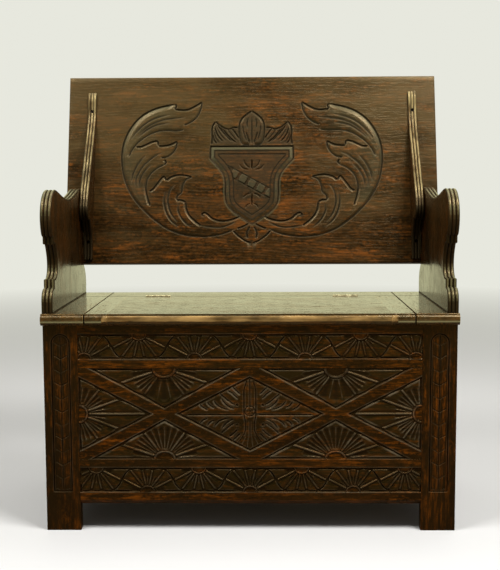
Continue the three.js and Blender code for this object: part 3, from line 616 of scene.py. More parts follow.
def inside_outline(u, v, points):
    """Distance to any closed outline, above zero inside it."""
    closed = np.vstack([points, points[:1]])
    distance, _, _ = path_distance(u, v, closed)
    crossings = np.zeros(u.shape, int)
    for a, b in zip(closed, closed[1:]):
        spans = (a[1] > v) != (b[1] > v)
        rise = b[1] - a[1] if b[1] != a[1] else 1e-9
        crossings += spans & (u < a[0] + (v - a[1]) * (b[0] - a[0]) / rise)
    return np.where(crossings % 2 == 1, distance, -distance)


def grid_lines(low, high, step, carved=None, coarse=12.0, radius=1.2):
    """Places of grid lines: close together over the carving and where the edges are round."""
    first, last = carved or (low + radius, high - radius)
    bends = radius * np.array([0.0, 0.12, 0.3, 0.55, 1.0])
    parts = [low + bends, high - bends, np.linspace(first, last, int((last - first) / step) + 1)]
    if first - low > radius + coarse:
        parts.append(np.linspace(low + radius, first, int((first - low) / coarse) + 2))
        parts.append(np.linspace(last, high - radius, int((high - last) / coarse) + 2))
    places = np.sort(np.concatenate(parts))
    return places[np.concatenate([[True], np.diff(places) > 1e-3])]


def blurred(field, reach=2):
    """A field averaged over a square of grid points."""
    padded = np.pad(field, reach, mode="edge")
    sums = np.pad(padded.cumsum(0).cumsum(1), ((1, 0), (1, 0)))
    size = 2 * reach + 1
    total = sums[size:, size:] - sums[:-size, size:] - sums[size:, :-size] + sums[:-size, :-size]
    return total / size**2


def carved_board(name, relief, place, thickness, chamfer=1.0, grime=0.0, bare=1.2):
    """A closed board whose face is the relief. place turns u, v and depth into metres.

    grime is the least darkness of the face, and bare the wear of what stands a millimetre
    proud of what is round it.
    """
    u, v, depth = relief.u, relief.v, relief.depth
    rows, columns = u.shape
    index = np.arange(rows * columns).reshape(rows, columns)
    quads = np.stack([index[:-1, :-1], index[:-1, 1:], index[1:, 1:], index[1:, :-1]], -1)
    loop = np.concatenate([index[0, :-1], index[:-1, -1], index[-1, :0:-1], index[:0:-1, 0]])
    edge_u, edge_v = u.ravel()[loop], v.ravel()[loop]
    inner_u = np.clip(edge_u, u.min() + chamfer, u.max() - chamfer)
    inner_v = np.clip(edge_v, v.min() + chamfer, v.max() - chamfer)
    level = np.full(len(loop), thickness)
    rings = [(edge_u, edge_v, level - chamfer), (inner_u, inner_v, level)]
    points = [place(u.ravel(), v.ravel(), depth.ravel())] + [place(*ring) for ring in rings]
    faces = quads.reshape(-1, 4).tolist()
    before = loop
    for ring in range(len(rings)):
        after = rows * columns + ring * len(loop) + np.arange(len(loop))
        around = np.stack([np.roll(before, -1), before, after, np.roll(after, -1)], -1)
        faces += around.tolist()
        before = after
    faces.append(before[::-1].tolist())
    piece = new_object(name, np.vstack(points), faces)

    low = np.clip(depth, 0, 4)
    local = blurred(low)
    hollow = np.maximum(GROUND_DIRT * low + STEEPNESS_INK * (low - local), relief.ink)
    hollow = np.maximum(np.clip(hollow, 0, 1), grime)
    worn = np.clip(np.maximum(bare * (local - low) - 0.1, relief.wear_and_highlight), 0, 1)
    behind = np.zeros(len(loop) * len(rings))
    for attribute, values in (("hollow", hollow), ("worn", worn), ("dust", relief.dust)):
        add_attribute(piece.data, attribute, "POINT", np.concatenate([values.ravel(), behind]))
    mark_sharp(piece)
    return piece


def mark_sharp(piece, degrees=50.0):
    mesh = bmesh.new()
    mesh.from_mesh(piece.data)
    for edge in mesh.edges:
        if len(edge.link_faces) == 2 and edge.calc_face_angle() > math.radians(degrees):
            edge.smooth = False
    mesh.to_mesh(piece.data)
    mesh.free()


# Carving of the front. Lengths are in millimetres.
rail_low, rail_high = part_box("front_top_rail")
FRONT_Y = rail_low.y / MM
FRONT_THICKNESS = (rail_high.y - rail_low.y) / MM
PANEL_HALF = rail_high.x / MM
PANEL_TOP = rail_low.z / MM
PANEL_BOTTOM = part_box("front_bottom_rail")[1].z / MM
LEG_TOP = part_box("front_left_leg")[1].z / MM
RAIL_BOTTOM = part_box("front_bottom_rail")[0].z / MM
PANEL_STEP = 1.2
RAIL_STEP = 0.95
LEG_STEP = 0.9
FACE_RADIUS = 1.2
JOINT_RADIUS = 0.6

# The straps, and the sinkings between them
CROSS_HALF_RISE = 11.0
CROSS_HALF_RUN = 24.5
EDGE_INSET = 22.5
SIDE_INSET = 17.0
WALL_WIDTH = 2.2
WALL_DEPTH = 3.6
WALL_LINE = 0.8
WALL_INK = 0.75
RIM_WIDTH = 2.4
RIM_WEAR = 0.5
ARRIS_OFF = 0.4
ARRIS_HALF = 0.9
GROUND = 0.9
GROUND_FILM = 0.75
LOZENGE_FILM = 0.4

# The fans: ribs, flutes between them, and the scalloped rim
RIB_LEVEL = 0.25
RIB_TOP = 0.7
RIB_WIDTH = 2.7
RIB_DEPTH = 3.3
RIB_SCOOP = 8.0
FAN_LIMIT = 96.0
FLUTE_DEPTH = 2.7
FLUTE_SHARE = 0.42
FLUTE_INK = 0.85
FLUTE_START = 1.5
FLUTE_START_RUN = 4.0
FLUTE_END_RUN = 9.0
FLUTE_END_BOW = 5.0
RIDGE_HALF = 0.9
RIDGE_WEAR = 0.7
SCALLOP = 4.0
SCALLOP_FADE = 20.0
SCALLOP_HIGHLIGHT = 1.6
CRESCENT_OFF = 2.4
CRESCENT_HALF = 2.2
CRESCENT_SHARE = 0.35
RIM_WEAR_FADE = 14.0
BOSS_TRENCH = 2.6
BOSS_CLEAR = 1.1
HANGING_BOSS = (26.0, 22.0)
RISING_BOSS = (24.0, 19.0)
END_BOSS = (20.5, 20.0)
FAN_REACH = 74.0
END_REACH = 62.0
FAN_RIBS = np.array([-71.0, -36.5, 36.5, 71.0])
FAN_FLUTES = (2, 4, 3, 4, 2)
RISING_FLUTES = (2, 4, 6, 4, 2)
END_RIBS = np.array([-54.0, -21.0, 0.0, 20.0, 50.0])
END_FLUTES = (4, 4, 2, 2, 3, 3)


def on_front(u, v, depth):
    return np.stack([u, FRONT_Y + depth, v], -1) * MM


def boss_profile(share):
    """Depth of a domed boss with a bead round it, by the share of its radius."""
    dome = 0.2 + 1.5 * np.clip(share / 0.66, 0, 1) ** 2.4
    bead = 2.6 - 2.2 * arc((share - 0.88) / 0.13)
    return np.where(share < 0.72, dome, bead)


def fluted_petals(distance, beyond, turn, ribs, flutes, reach_out):
    """The petals of a fan: depth, wax in the flutes, wear of the ridges, and the nearness
    of a rib, from none in the middle of a petal to one."""
    depth = np.full(distance.shape, GROUND)
    ink, wear_and_highlight, bulge = np.zeros((3, *distance.shape))
    limits = np.concatenate([[-FAN_LIMIT], ribs, [FAN_LIMIT]])
    for low, high, count in zip(limits, limits[1:], flutes):
        along = (turn - low) / (high - low)
        within = (along > 0) & (along < 1)
        cell = (along * count) % 1
        width = distance * math.radians(high - low) / count
        deep = np.minimum(FLUTE_DEPTH, FLUTE_SHARE * width) * arc(2 * cell - 1)
        ended = reach_out - FLUTE_END_BOW * (2 * cell - 1) ** 2
        window = smooth_step((beyond - FLUTE_START) / FLUTE_START_RUN)
        window = window * smooth_step((ended - distance) / FLUTE_END_RUN)
        depth = np.where(within, depth + deep * window, depth)
        line = np.clip(1.2 - 2.4 * np.abs(cell - 0.5), 0, 1)
        ink = np.where(within, FLUTE_INK * line * window, ink)
        ridge = near_line(np.minimum(cell, 1 - cell) * width, RIDGE_HALF) * window
        wear_and_highlight = np.where(within, RIDGE_WEAR * ridge, wear_and_highlight)
        bulge = np.where(within, (2 * along - 1) ** 2, bulge)
    return depth, ink, wear_and_highlight, bulge


def with_ribs(gap, petal, size):
    """The petals with ribs between them, by the distance from the nearest rib."""
    fall = np.clip((gap - RIB_TOP * size) / ((RIB_WIDTH - RIB_TOP) * size), 0, 1)
    rib = RIB_LEVEL + (RIB_DEPTH - RIB_LEVEL) * fall
    rise = np.clip((gap - RIB_WIDTH * size) / (RIB_SCOOP * size), 0, 1) ** 0.75
    beside = RIB_DEPTH - (RIB_DEPTH - GROUND) * rise
    return np.where(gap < RIB_WIDTH * size, rib, np.maximum(petal, beside))


def wall_ink(relief, inside, where=True):
    """Wax on the wall round a sinking and along its foot."""
    relief.darken(inside - WALL_WIDTH, WALL_LINE, (inside > 0) & where)
    relief.darken(inside - WALL_WIDTH / 2, WALL_WIDTH / 2, (inside > 0) & where, WALL_INK)


def fan(relief, inside, centre, boss, facing, ribs, flutes, reach_out, size=1.0, arris=1.0):
    """A half-round boss with ribs and fluted petals round it, cut where inside is above zero.

    ribs are directions in degrees from the facing, flutes the number of gouge cuts in each
    petal between them, reach_out the distance at which the flutes end, size the width
    of the ribs against those of the panel, and arris the wear of the edge round the sinking.
    """
    du, dv = relief.u - centre[0], relief.v - centre[1]
    distance = np.hypot(du, dv) + 1e-6
    turn = (np.degrees(np.arctan2(dv, du)) - facing + 180) % 360 - 180
    radians = np.radians(turn)
    share = np.hypot(distance * np.sin(radians) / boss[0], distance * np.cos(radians) / boss[1])
    beyond = distance * (1 - 1 / np.maximum(share, 1e-3))
    gap = np.full(distance.shape, np.inf)
    for rib in ribs:
        gap = np.minimum(gap, distance * np.sin(np.radians(np.clip(np.abs(turn - rib), 0, 90))))
    petals = fluted_petals(distance, beyond, turn, ribs, flutes, reach_out)
    petal, flute_ink, ridge_wear, bulge = petals
    shaped = with_ribs(gap, petal, size)
    rim = inside - WALL_WIDTH - SCALLOP * bulge * smooth_step(beyond / SCALLOP_FADE)
    shaped = np.maximum(shaped, WALL_DEPTH - (WALL_DEPTH - GROUND) * np.clip(rim / RIM_WIDTH, 0, 1))
    shaped = np.maximum(shaped, trench(beyond, BOSS_TRENCH, RIB_DEPTH))
    shaped = np.where(share < 1, boss_profile(share), shaped)
    walled = WALL_DEPTH * np.clip(inside / WALL_WIDTH, 0, 1)
    shaped = np.where((inside < WALL_WIDTH) & (share >= 1), walled, shaped)
    shaped = np.where((inside < 1.2) & (share < 1), np.minimum(shaped, 2.0 * inside), shaped)
    relief.deepen(shaped, inside > 0)

    clear = share > BOSS_CLEAR
    sunk = (inside > WALL_WIDTH) & clear
    in_petal = sunk & (gap > RIB_WIDTH * size)
    wall_ink(relief, inside, clear)
    relief.darken(gap - RIB_WIDTH * size - 0.3, 0.8, sunk)
    relief.darken(beyond, 0.9, (inside > 0) & (beyond > -2))
    relief.lift("ink", flute_ink, in_petal)
    relief.lift("dust", GROUND_FILM, sunk)
    round_boss = smooth_step(beyond / RIM_WEAR_FADE)
    on_rim = np.clip(1.2 - np.abs(rim / RIM_WIDTH - 0.75) / 0.55, 0, 1) * round_boss
    bare = np.maximum(RIM_WEAR * on_rim, ridge_wear)
    # Painted highlight: pale crescents on the rim, only in the fans that face up
    if arris and facing > 45:
        crescent = near_line(rim - CRESCENT_OFF, CRESCENT_HALF) * round_boss
        bare = np.maximum(bare, SCALLOP_HIGHLIGHT * crescent * np.clip(1 - bulge / CRESCENT_SHARE, 0, 1))
    relief.lift("wear_and_highlight", bare, in_petal)
    relief.rub(inside + ARRIS_OFF, ARRIS_HALF, arris, share > 1)


def front_panel():
    relief = Relief(
        grid_lines(-PANEL_HALF, PANEL_HALF, PANEL_STEP),
        grid_lines(PANEL_BOTTOM, PANEL_TOP, PANEL_STEP, radius=JOINT_RADIUS),
    )
    u, v = relief.u, relief.v
    middle = (PANEL_BOTTOM + PANEL_TOP) / 2
    half_height = (PANEL_TOP - PANEL_BOTTOM) / 2
    crossing = PANEL_HALF / 2
    point = crossing - CROSS_HALF_RUN
    apex = half_height - SIDE_INSET
    lozenge = [(-point, middle), (0, middle - apex), (point, middle), (0, middle + apex)]
    carve_lozenge(relief, inside_distance(u, v, lozenge), middle)
    for sign in SIDES.values():
        cross = sign * crossing
        spread = crossing - EDGE_INSET
        for up, boss, flutes in ((-1, RISING_BOSS, RISING_FLUTES), (1, HANGING_BOSS, FAN_FLUTES)):
            edge = middle + up * half_height
            peak = (cross, middle + up * CROSS_HALF_RISE)
            inside = inside_distance(u, v, [(cross - spread, edge), (cross + spread, edge), peak])
            fan(relief, inside, (cross, edge), boss, -90 * up, FAN_RIBS, flutes, FAN_REACH)
        end = sign * PANEL_HALF
        peak = (cross + sign * CROSS_HALF_RUN, middle)
        inside = inside_distance(u, v, [(end, middle + apex), (end, middle - apex), peak])
        ribs, flutes = (END_RIBS, END_FLUTES) if sign < 0 else (-END_RIBS[::-1], END_FLUTES[::-1])
        fan(relief, inside, (end, middle), END_BOSS, 0 if sign < 0 else 180, ribs, flutes, END_REACH)
    relief.round_edges(JOINT_RADIUS)
    piece = carved_board("carved_front_panel", relief, on_front, FRONT_THICKNESS)
    dress(piece, "box", oak("carved_oak", "across"), ["front_panel"], 1)


# Cuts of one quarter of the lozenge, from its middle outwards and up
QUARTER_LEAVES = [
    [(106, 22), (98, 14), (88, 9)],
    [(90, 27), (84, 19), (74, 13)],
    [(76, 30), (70, 21), (60, 14), (44, 9)],
    [(60, 34), (52, 23), (42, 15), (32, 11)],
    [(65, 46), (56, 38), (44, 28), (30, 18)],
    [(47, 51), (36, 44), (24, 32)],
    [(38, 59), (29, 51), (19, 41)],
]
# Painted highlight on the wide slopes of the leaf cuts, stronger in the quarters whose slopes face
# the light
QUARTER_HIGHLIGHT = {(-1, 1): 2.4, (1, 1): 0.9, (-1, -1): 0.5, (1, -1): 1.5}
LEAF_CUT_DEPTH = 3.8
LEAF_CUT_WIDTHS = (5.2, 1.3)
MIDDLE_LINE = [(-134, -2.3), (-80, -2.3), (-14, -2.3)]
MIDDLE_WIDTHS = (3.6, 1.7)
# Painted highlight on the narrow slope below the middle cuts, which faces up
MIDDLE_HIGHLIGHT = 2.0
EYE = (27.0, 19.0)
LOW_EYE_DROP = 1.25
EYE_RADIUS = 3.4
EYE_RING = 6.5
STALK_HALF = 12.5
STALK_EDGE = (2.4, 3.0)
STALK_GROOVE = (2.0, 2.6)
SIDE_GROOVE_OFF = 7.0
SIDE_GROOVE = (2.2, 1.0)
FISHTAIL_SPREAD = 18.0
FISHTAIL_TOP = 34.0
FISHTAIL_RUN = 30.0
FLUTED_BELOW = -48.0
LEAF_WAX = 0.8
LEAF_WAX_REACH = 0.9
ROSETTE_RADIUS = 9.5
ROSETTE_RISE = 6.0


def carve_lozenge(relief, inside, middle):
    """A leafy cross in a sunk lozenge, with a rosette in its middle."""
    v = relief.v - middle
    rim = inside - WALL_WIDTH
    shaped = WALL_DEPTH - (WALL_DEPTH - GROUND) * np.clip(rim / 4.0, 0, 1)
    shaped = np.where(inside < WALL_WIDTH, WALL_DEPTH * inside / WALL_WIDTH, shaped)
    relief.deepen(shaped, inside > 0)
    wall_ink(relief, inside)
    relief.rub(inside + ARRIS_OFF, ARRIS_HALF, 1.0)
    relief.lift("dust", LOZENGE_FILM, inside > WALL_WIDTH)
    lozenge_stalk(relief, v, smooth_step((inside - 3.5) / 3))
    for across in (-1, 1):
        line = curve(MIDDLE_LINE) * (-across, 1) + (0, middle)
        left, right = MIDDLE_WIDTHS[::-across]
        relief.cut(line, LEAF_CUT_DEPTH, left, right, 0.06, highlight_narrow=MIDDLE_HIGHLIGHT)
        for up in (-1, 1):
            left, right = LEAF_CUT_WIDTHS[::across * up]
            wear_and_highlight = QUARTER_HIGHLIGHT[across, up]
            for points in QUARTER_LEAVES:
                line = curve(points) * (across, up) + (0, middle)
                relief.cut(line, LEAF_CUT_DEPTH, left, right, 0.2, ink=LEAF_WAX,
                           reach=LEAF_WAX_REACH, highlight_wide=wear_and_highlight)
            level = up * EYE[1] * (1.0 if up > 0 else LOW_EYE_DROP)
            eye = np.hypot(relief.u - across * EYE[0], v - level)
            relief.deepen(EYE_RADIUS * np.clip(1 - (eye / EYE_RADIUS) ** 2, 0, 1))
            relief.deepen(trench(eye - EYE_RING, 1.6, 1.8))
    rosette(relief, v - ROSETTE_RISE)


def lozenge_stalk(relief, v, keep):
    """The upright part of the cross: a grooved stalk over a fluted fishtail."""
    off = np.abs(relief.u)
    fishtail = np.clip((-v - FISHTAIL_TOP) / FISHTAIL_RUN, 0, 1) ** 1.5 * FISHTAIL_SPREAD
    half = STALK_HALF + fishtail - 5.5 * smooth_step((v - 48) / 25) - 3 * smooth_step(-v / 20)
    flutes = 1.5 * arc(2 * ((relief.u / (half / 2.5) + 0.5) % 1) - 1)
    grooves = np.maximum(trench(off, *STALK_GROOVE), trench(off - SIDE_GROOVE_OFF, *SIDE_GROOVE))
    grooves = grooves * smooth_step((np.abs(v) - 12) / 4)
    stalk = np.where(off < half, np.where(v < FLUTED_BELOW, flutes, grooves) + 0.5, 0)
    relief.deepen(np.maximum(trench(off - half, *STALK_EDGE), stalk) * keep)
    relief.darken(off - half, 1.0, keep > 0.5)
    relief.darken(off, 0.8, (keep > 0.5) & (v > 12))


def rosette(relief, v):
    """A flower of five petals, with a cut round it."""
    distance = np.hypot(relief.u, v)
    petals = 0.6 + 0.7 * np.abs(np.sin(2.5 * np.arctan2(v, relief.u)))
    petals = petals + 1.6 * np.clip(1 - distance / 3.0, 0, 1)
    relief.depth = np.where(distance < ROSETTE_RADIUS, petals, relief.depth)
    relief.deepen(trench(distance - ROSETTE_RADIUS - 1.0, 2.0, 3.2))


TOP_PITCH = 116.0
BOTTOM_PITCH = 109.0
LUNETTE_LEAN = 21.5
LUNETTE_BOSS = (16.5, 14.5)
LUNETTE_RIBS = np.array([-62.0, -37.0, -12.5, 12.5, 37.0, 62.0])
LUNETTE_FLUTES = (1, 2, 2, 2, 2, 2, 1)
LUNETTE_REACH = 40.0
LUNETTE_RIB_SIZE = 0.9
LUNETTE_RIDGE_WEAR = 0.5
LUNETTE_EDGE_WEAR = 0.8
DIVIDER_WIDTH = 3.0
DIVIDER_DEPTH = 4.2
DIVIDER_INK = 2.0
BAND_BARE = 0.7


def lunette_band(relief, bottom, height, pitch, first_facing):
    """Fans that hang and rise by turns, with a slanting cut between each two."""
    u, v = relief.u, relief.v
    top = bottom + height
    count = int(PANEL_HALF / pitch) + 1
    walls = np.minimum(top - v, v - bottom)
    walls = np.minimum(walls, PANEL_HALF + 4 - np.abs(u))
    slant = 2 * np.clip((v - bottom) / height, 0, 1) - 1
    slant = 0.6 * slant + 0.5 * slant**3
    for place in range(-count, count + 1):
        facing = first_facing if place % 2 == 0 else -first_facing
        turn = -1 if facing < 0 else 1
        beside = pitch / 2 - turn * LUNETTE_LEAN * slant - np.abs(u - place * pitch)
        inside = np.minimum(walls, beside * 1.4 + WALL_WIDTH)
        centre = (place * pitch, top if facing < 0 else bottom)
        depth, ink, wear_and_highlight = relief.depth, relief.ink, relief.wear_and_highlight
        fan(relief, inside, centre, LUNETTE_BOSS, facing, LUNETTE_RIBS, LUNETTE_FLUTES,
            LUNETTE_REACH, LUNETTE_RIB_SIZE, arris=0)
        relief.depth = np.where(beside > 0, relief.depth, depth)
        relief.ink = np.where(beside > 0, relief.ink, ink)
        relief.wear_and_highlight = np.where(beside > 0, np.maximum(wear_and_highlight, LUNETTE_RIDGE_WEAR * relief.wear_and_highlight), wear_and_highlight)
        relief.deepen(trench(beside, DIVIDER_WIDTH, DIVIDER_DEPTH), walls > 0)
        relief.darken(beside, DIVIDER_INK, walls > 0)
    relief.rub(walls + ARRIS_OFF, ARRIS_HALF, LUNETTE_EDGE_WEAR)


TOP_BAND_MARGIN = 19.0
BOTTOM_BAND_MARGIN = 26.0
BAND_HEIGHT = 53.5
SEAT_SHADE = 0.35
CHAMFER_HEIGHT = 9.0
CHAMFER_DEPTH = 6.0


def front_rails():
    top_band = LEG_TOP - TOP_BAND_MARGIN - BAND_HEIGHT
    bottom_band = RAIL_BOTTOM + BOTTOM_BAND_MARGIN
    for board, name, low, high, radius, band, pitch, facing in (
        (2, "top", PANEL_TOP, LEG_TOP, JOINT_RADIUS, top_band, TOP_PITCH, -90),
        (3, "bottom", RAIL_BOTTOM, PANEL_BOTTOM, FACE_RADIUS, bottom_band, BOTTOM_PITCH, 90),
    ):
        across = grid_lines(-PANEL_HALF, PANEL_HALF, RAIL_STEP)
        relief = Relief(across, grid_lines(low, high, RAIL_STEP, radius=radius))
        lunette_band(relief, band, BAND_HEIGHT, pitch, facing)
        if name == "top":
            # Painted shadow under the seat's overhang, darkest at the top of the rail
            relief.darken(LEG_TOP - relief.v, TOP_BAND_MARGIN, amount=SEAT_SHADE)
        else:
            height = relief.v - RAIL_BOTTOM
            relief.deepen(CHAMFER_DEPTH * np.clip(1 - height / CHAMFER_HEIGHT, 0, 1))
        relief.round_edges(JOINT_RADIUS)
        node = f"front_{name}_rail"
        piece = carved_board(f"carved_{node}", relief, on_front, FRONT_THICKNESS, bare=BAND_BARE)
        dress(piece, "box", oak("carved_oak", "across"), [node], board)


NICHE_HALF = 20.0
NICHE_BOTTOM = 83.5
NICHE_TOP_MARGIN = 18.5
NICHE_BEAD = 5.4
NICHE_GROOVE_OFF = 1.4
NICHE_GROOVE = (1.5, 3.4)
BEAD_MIDDLE = 3.6
BEAD_HALF = 1.9
BEAD_FOOT_DEPTH = 2.4
BEAD_RISE = 1.6
LEAF_PITCH = 28.5
LEAF_RISE_SHARE = 0.55
LEAF_EDGE = (1.8, 1.2)
LEAF_VEIN_OFF = 9.0
LEAF_VEIN_SWAY = 3.0
LEAF_VEIN = (2.2, 1.0)
WEAK_LEAF = 0.45
MIDRIB = (1.6, 3.0)
LEG_GRIME = 0.36


def leg_leaves(relief, u, v, inside):
    """A row of pointed leaves up the middle of a leg, in a sunk and beaded arch."""
    off = np.abs(u)
    climb = (v - NICHE_BOTTOM - LEAF_RISE_SHARE * off) / LEAF_PITCH
    phase = climb % 1
    edge = np.minimum(phase, 1 - phase) * LEAF_PITCH
    strong = np.where(np.floor(climb) % 2 == 0, 1.0, WEAK_LEAF)
    leaf = 0.6 + 1.0 * (1 - phase) ** 2 + 0.9 * (off / NICHE_HALF) ** 2
    leaf = leaf + strong * trench(edge, *LEAF_EDGE)
    vein = off - LEAF_VEIN_OFF - LEAF_VEIN_SWAY * np.sin(np.pi * phase)
    leaf = leaf + 0.5 * trench(vein, *LEAF_VEIN)
    leaf = np.maximum(leaf, trench(off, *MIDRIB))
    keep = smooth_step((inside - 4.2) / 2)
    bead = BEAD_FOOT_DEPTH - BEAD_RISE * arc((inside - BEAD_MIDDLE) / BEAD_HALF)
    bead = np.maximum(bead, trench(inside - NICHE_GROOVE_OFF, *NICHE_GROOVE))
    shaped = np.maximum(np.where(inside < NICHE_BEAD, bead, 0), leaf * keep)
    relief.depth = np.where(inside > 0, np.minimum(shaped, 3.0 * inside), 0)
    relief.darken(inside - NICHE_GROOVE_OFF, 1.3)
    relief.darken(inside - NICHE_BEAD, 0.9)
    relief.darken(off, 1.0, keep > 0.5)
    relief.darken(np.where(strong > 0.9, edge, edge + 1.0), 1.9, (keep > 0.5) & (off > 1.5))


def front_legs():
    for name, sign in SIDES.items():
        node = f"front_{name}_leg"
        low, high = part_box(node)
        relief = Relief(
            grid_lines(low.x / MM, high.x / MM, LEG_STEP),
            grid_lines(0.0, LEG_TOP, LEG_STEP, carved=(NICHE_BOTTOM - 6, LEG_TOP - FACE_RADIUS)),
        )
        u, v = relief.u - (low.x + high.x) / 2 / MM, relief.v
        spring = LEG_TOP - NICHE_TOP_MARGIN - NICHE_HALF
        arch = NICHE_HALF - np.hypot(u, np.maximum(v - spring, 0))
        leg_leaves(relief, u, v, np.minimum(arch, v - NICHE_BOTTOM))
        relief.round_edges(FACE_RADIUS)
        thickness = (high.y - low.y) / MM
        name = f"carved_{node}"
        piece = carved_board(name, relief, on_front, thickness, grime=LEG_GRIME, bare=BAND_BARE)
        dress(piece, "box", oak("carved_oak", "upright"), [node], 4 + (sign > 0))


# Carving of the back, in millimetres from its middle and up from its lower edge
TOP_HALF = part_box("table_top")[1].x / MM
TABLE_MIDDLE = Vector(mounts["table_surface"]["pos_m"])
TOP_UP = Vector((0, math.sin(LEAN), math.cos(LEAN)))
top_low, top_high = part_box("table_top")
TOP_THICKNESS = 20.0
TOP_RADIUS = 2.0
TOP_CHAMFER = 1.5
TOP_HEIGHT = ((top_high.z - top_low.z) / MM - TOP_THICKNESS * math.sin(LEAN)) / math.cos(LEAN)
BACK_STEP = 1.5
CARVED_WIDTH = (-332.0, 332.0)
CARVED_HEIGHT = (50.0, 418.0)
# Pale bloom and painted sheen inside the upper part of the outer scroll
LEAF_BLOOM_AND_SHEEN = 0.30
LEAF_BLOOM_AND_SHEEN_REACH = 75.0
BLOOM_AND_SHEEN_POINTS = 14

# Each kind of cut: depth, widths of its left and right slope, share that fades at each end
OUTER_CUT = (3.3, 11.0, 1.6, 0.03)
LEAF_CUT = (3.3, 1.6, 5.0, 0.05)
FOLD_CUT = (3.3, 1.6, 6.0, 0.05)
VEIN_CUT = (1.8, 1.8, 4.6, 0.25)
STEM_CUT = (3.3, 1.4, 5.0, 0.08)
STEM_VEIN_CUT = (1.8, 2.2, 2.2, 0.2)
PLUME_CUT = (3.3, 1.4, 6.0, 0.04)
PLUME_MIDRIB_CUT = (1.8, 2.0, 2.0, 0.15)
PLUME_INNER_CUT = (3.3, 2.6, 1.4, 0.2)
PLUME_UPPER_CUT = (1.8, 2.0, 2.0, 0.2)
CREST_OUTLINE_CUT = (3.3, 3.5, 1.4, 0.05)
CREST_FOLD_CUT = (3.3, 1.4, 2.6, 0.14)
CREST_VEIN_CUT = (1.8, 1.7, 1.7, 0.2)
TUFT_CUT = (3.3, 1.6, 3.0, 0.1)
SPRIG_CUT = (2.2, 1.9, 1.9, 0.2)

OUTER_SCROLL = [
    (-192, 406), (-227, 399), (-250, 391), (-270, 380), (-288, 364), (-303, 344), (-315, 320),
    (-322, 295), (-324, 270), (-322, 242), (-316, 213), (-305, 185), (-290, 160), (-268, 134),
    (-242, 110), (-213, 89), (-187, 77), (-162, 70), (-135, 67), (-108, 67), (-73, 73), (-41, 85),
]
LEAF_EDGES = [
    [(-192, 406), (-190, 400), (-193, 393)],
    [(-193, 393), (-177, 391), (-160, 392), (-143, 400), (-125, 411)],
    [(-125, 411), (-128, 392), (-137, 373), (-151, 360), (-169, 351)],
    [(-289, 296), (-277, 296), (-263, 302), (-250, 308), (-236, 310), (-233, 299)],
    [(-233, 298), (-220, 298), (-204, 301), (-187, 309)],
    [(-187, 309), (-189, 294), (-197, 280), (-210, 270), (-226, 267)],
    [(-217, 262), (-214, 255), (-218, 249)],
    [(-255, 182), (-246, 187), (-235, 201), (-220, 219), (-212, 209)],
    [(-212, 209), (-201, 218), (-184, 223), (-165, 222), (-149, 217)],
    [(-149, 217), (-161, 213), (-169, 203), (-173, 190), (-175, 178), (-184, 170), (-186, 159)],
    [(-186, 159), (-175, 159), (-164, 154)],
]
LEAF_FOLDS = [
    [(-170, 339), (-190, 337), (-212, 338), (-233, 336), (-252, 329), (-269, 319), (-286, 305),
     (-299, 288), (-307, 270)],
    [(-218, 249), (-233, 242), (-247, 231), (-257, 218), (-262, 203), (-263, 187), (-259, 167),
     (-252, 144)],
    [(-164, 154), (-162, 138), (-156, 123), (-144, 109), (-125, 94)],
]
VEINS = [
    [(-205, 378), (-221, 375), (-240, 370), (-258, 361), (-275, 348), (-290, 332), (-302, 314)],
    [(-165, 371), (-192, 369), (-216, 366), (-236, 360), (-255, 351), (-273, 337), (-288, 320)],
    [(-205, 356), (-220, 355), (-237, 352), (-254, 344), (-270, 333), (-285, 318)],
    [(-221, 280), (-239, 273), (-256, 260), (-270, 246), (-281, 229), (-288, 210), (-288, 190)],
    [(-265, 273), (-278, 259), (-288, 243), (-296, 224), (-299, 205)],
    [(-250, 250), (-263, 238), (-273, 223), (-279, 207), (-280, 190)],
    [(-190, 199), (-200, 188), (-206, 174), (-208, 158), (-205, 140), (-197, 121), (-183, 103)],
    [(-213, 182), (-217, 161), (-215, 141), (-208, 121), (-196, 104), (-180, 91)],
    [(-180, 150), (-182, 135), (-176, 118), (-165, 103), (-150, 90)],
]
STEM_TOP = [
    (-117, 116), (-124, 122), (-117, 127), (-108, 122), (-98, 113), (-83, 107), (-67, 106),
    (-48, 110), (-30, 117),
]
STEM_LOW = [(-125, 94), (-112, 92), (-95, 90), (-76, 90), (-58, 95), (-41, 103)]
SHIELD_HALF = [
    (0, 297), (-103, 297), (-104, 265), (-83, 242), (-70, 222), (-66, 200), (-66, 174),
    (-62, 150), (-48, 131), (-30, 117), (-4, 100),
]
SHIELD_FRAME = 10.0
SHIELD_BORDER = 9.0
SHIELD_DEPTH = 3.2
SHIELD_FIELD_DEPTH = 1.6
SHIELD_SHADE = 0.47
FIELD_GROOVE = (2.0, 2.8)
FRAME_FALL = 2.6
FRAME_WALL = 1.0
FRAME_BRIGHT_FROM = 255
FRAME_PALE_FROM = 130
OUTER_LINE_OFF = 3.6
OUTER_LINE_TOP = 262
BAND_SLOPE = math.radians(-29.5)
BAND_HALF = 11.0
BAND_MARGIN = 1.5
BAND_GROOVE = (1.8, 3.0)
BAND_BLOCK_DEPTH = 0.3
BAND_GAP_DEPTH = 2.2
BAND_BLOCK_HALF = 9.5
BAND_LEVEL = 201.0
BAND_PITCH = 25.0
BAND_INK = 0.8
BAND_FILM = 0.65
SPRIGS = [
    [(0, 262), (0, 250), (0, 238)],
    [(-5, 240), (-16, 250), (-20, 262)],
    [(-8, 236), (-22, 240), (-31, 250)],
    [(-3, 176), (-14, 172), (-22, 164)],
    [(0, 172), (0, 160), (0, 146)],
    [(-4, 150), (-12, 146), (-16, 138)],
]
CREST_OUTLINES = [
    [(-91, 360), (-80, 350), (-69, 343), (-57, 340), (-46, 344), (-34, 344)],
    [(-91, 360), (-98, 348), (-100, 334), (-99, 318), (-101, 301)],
]
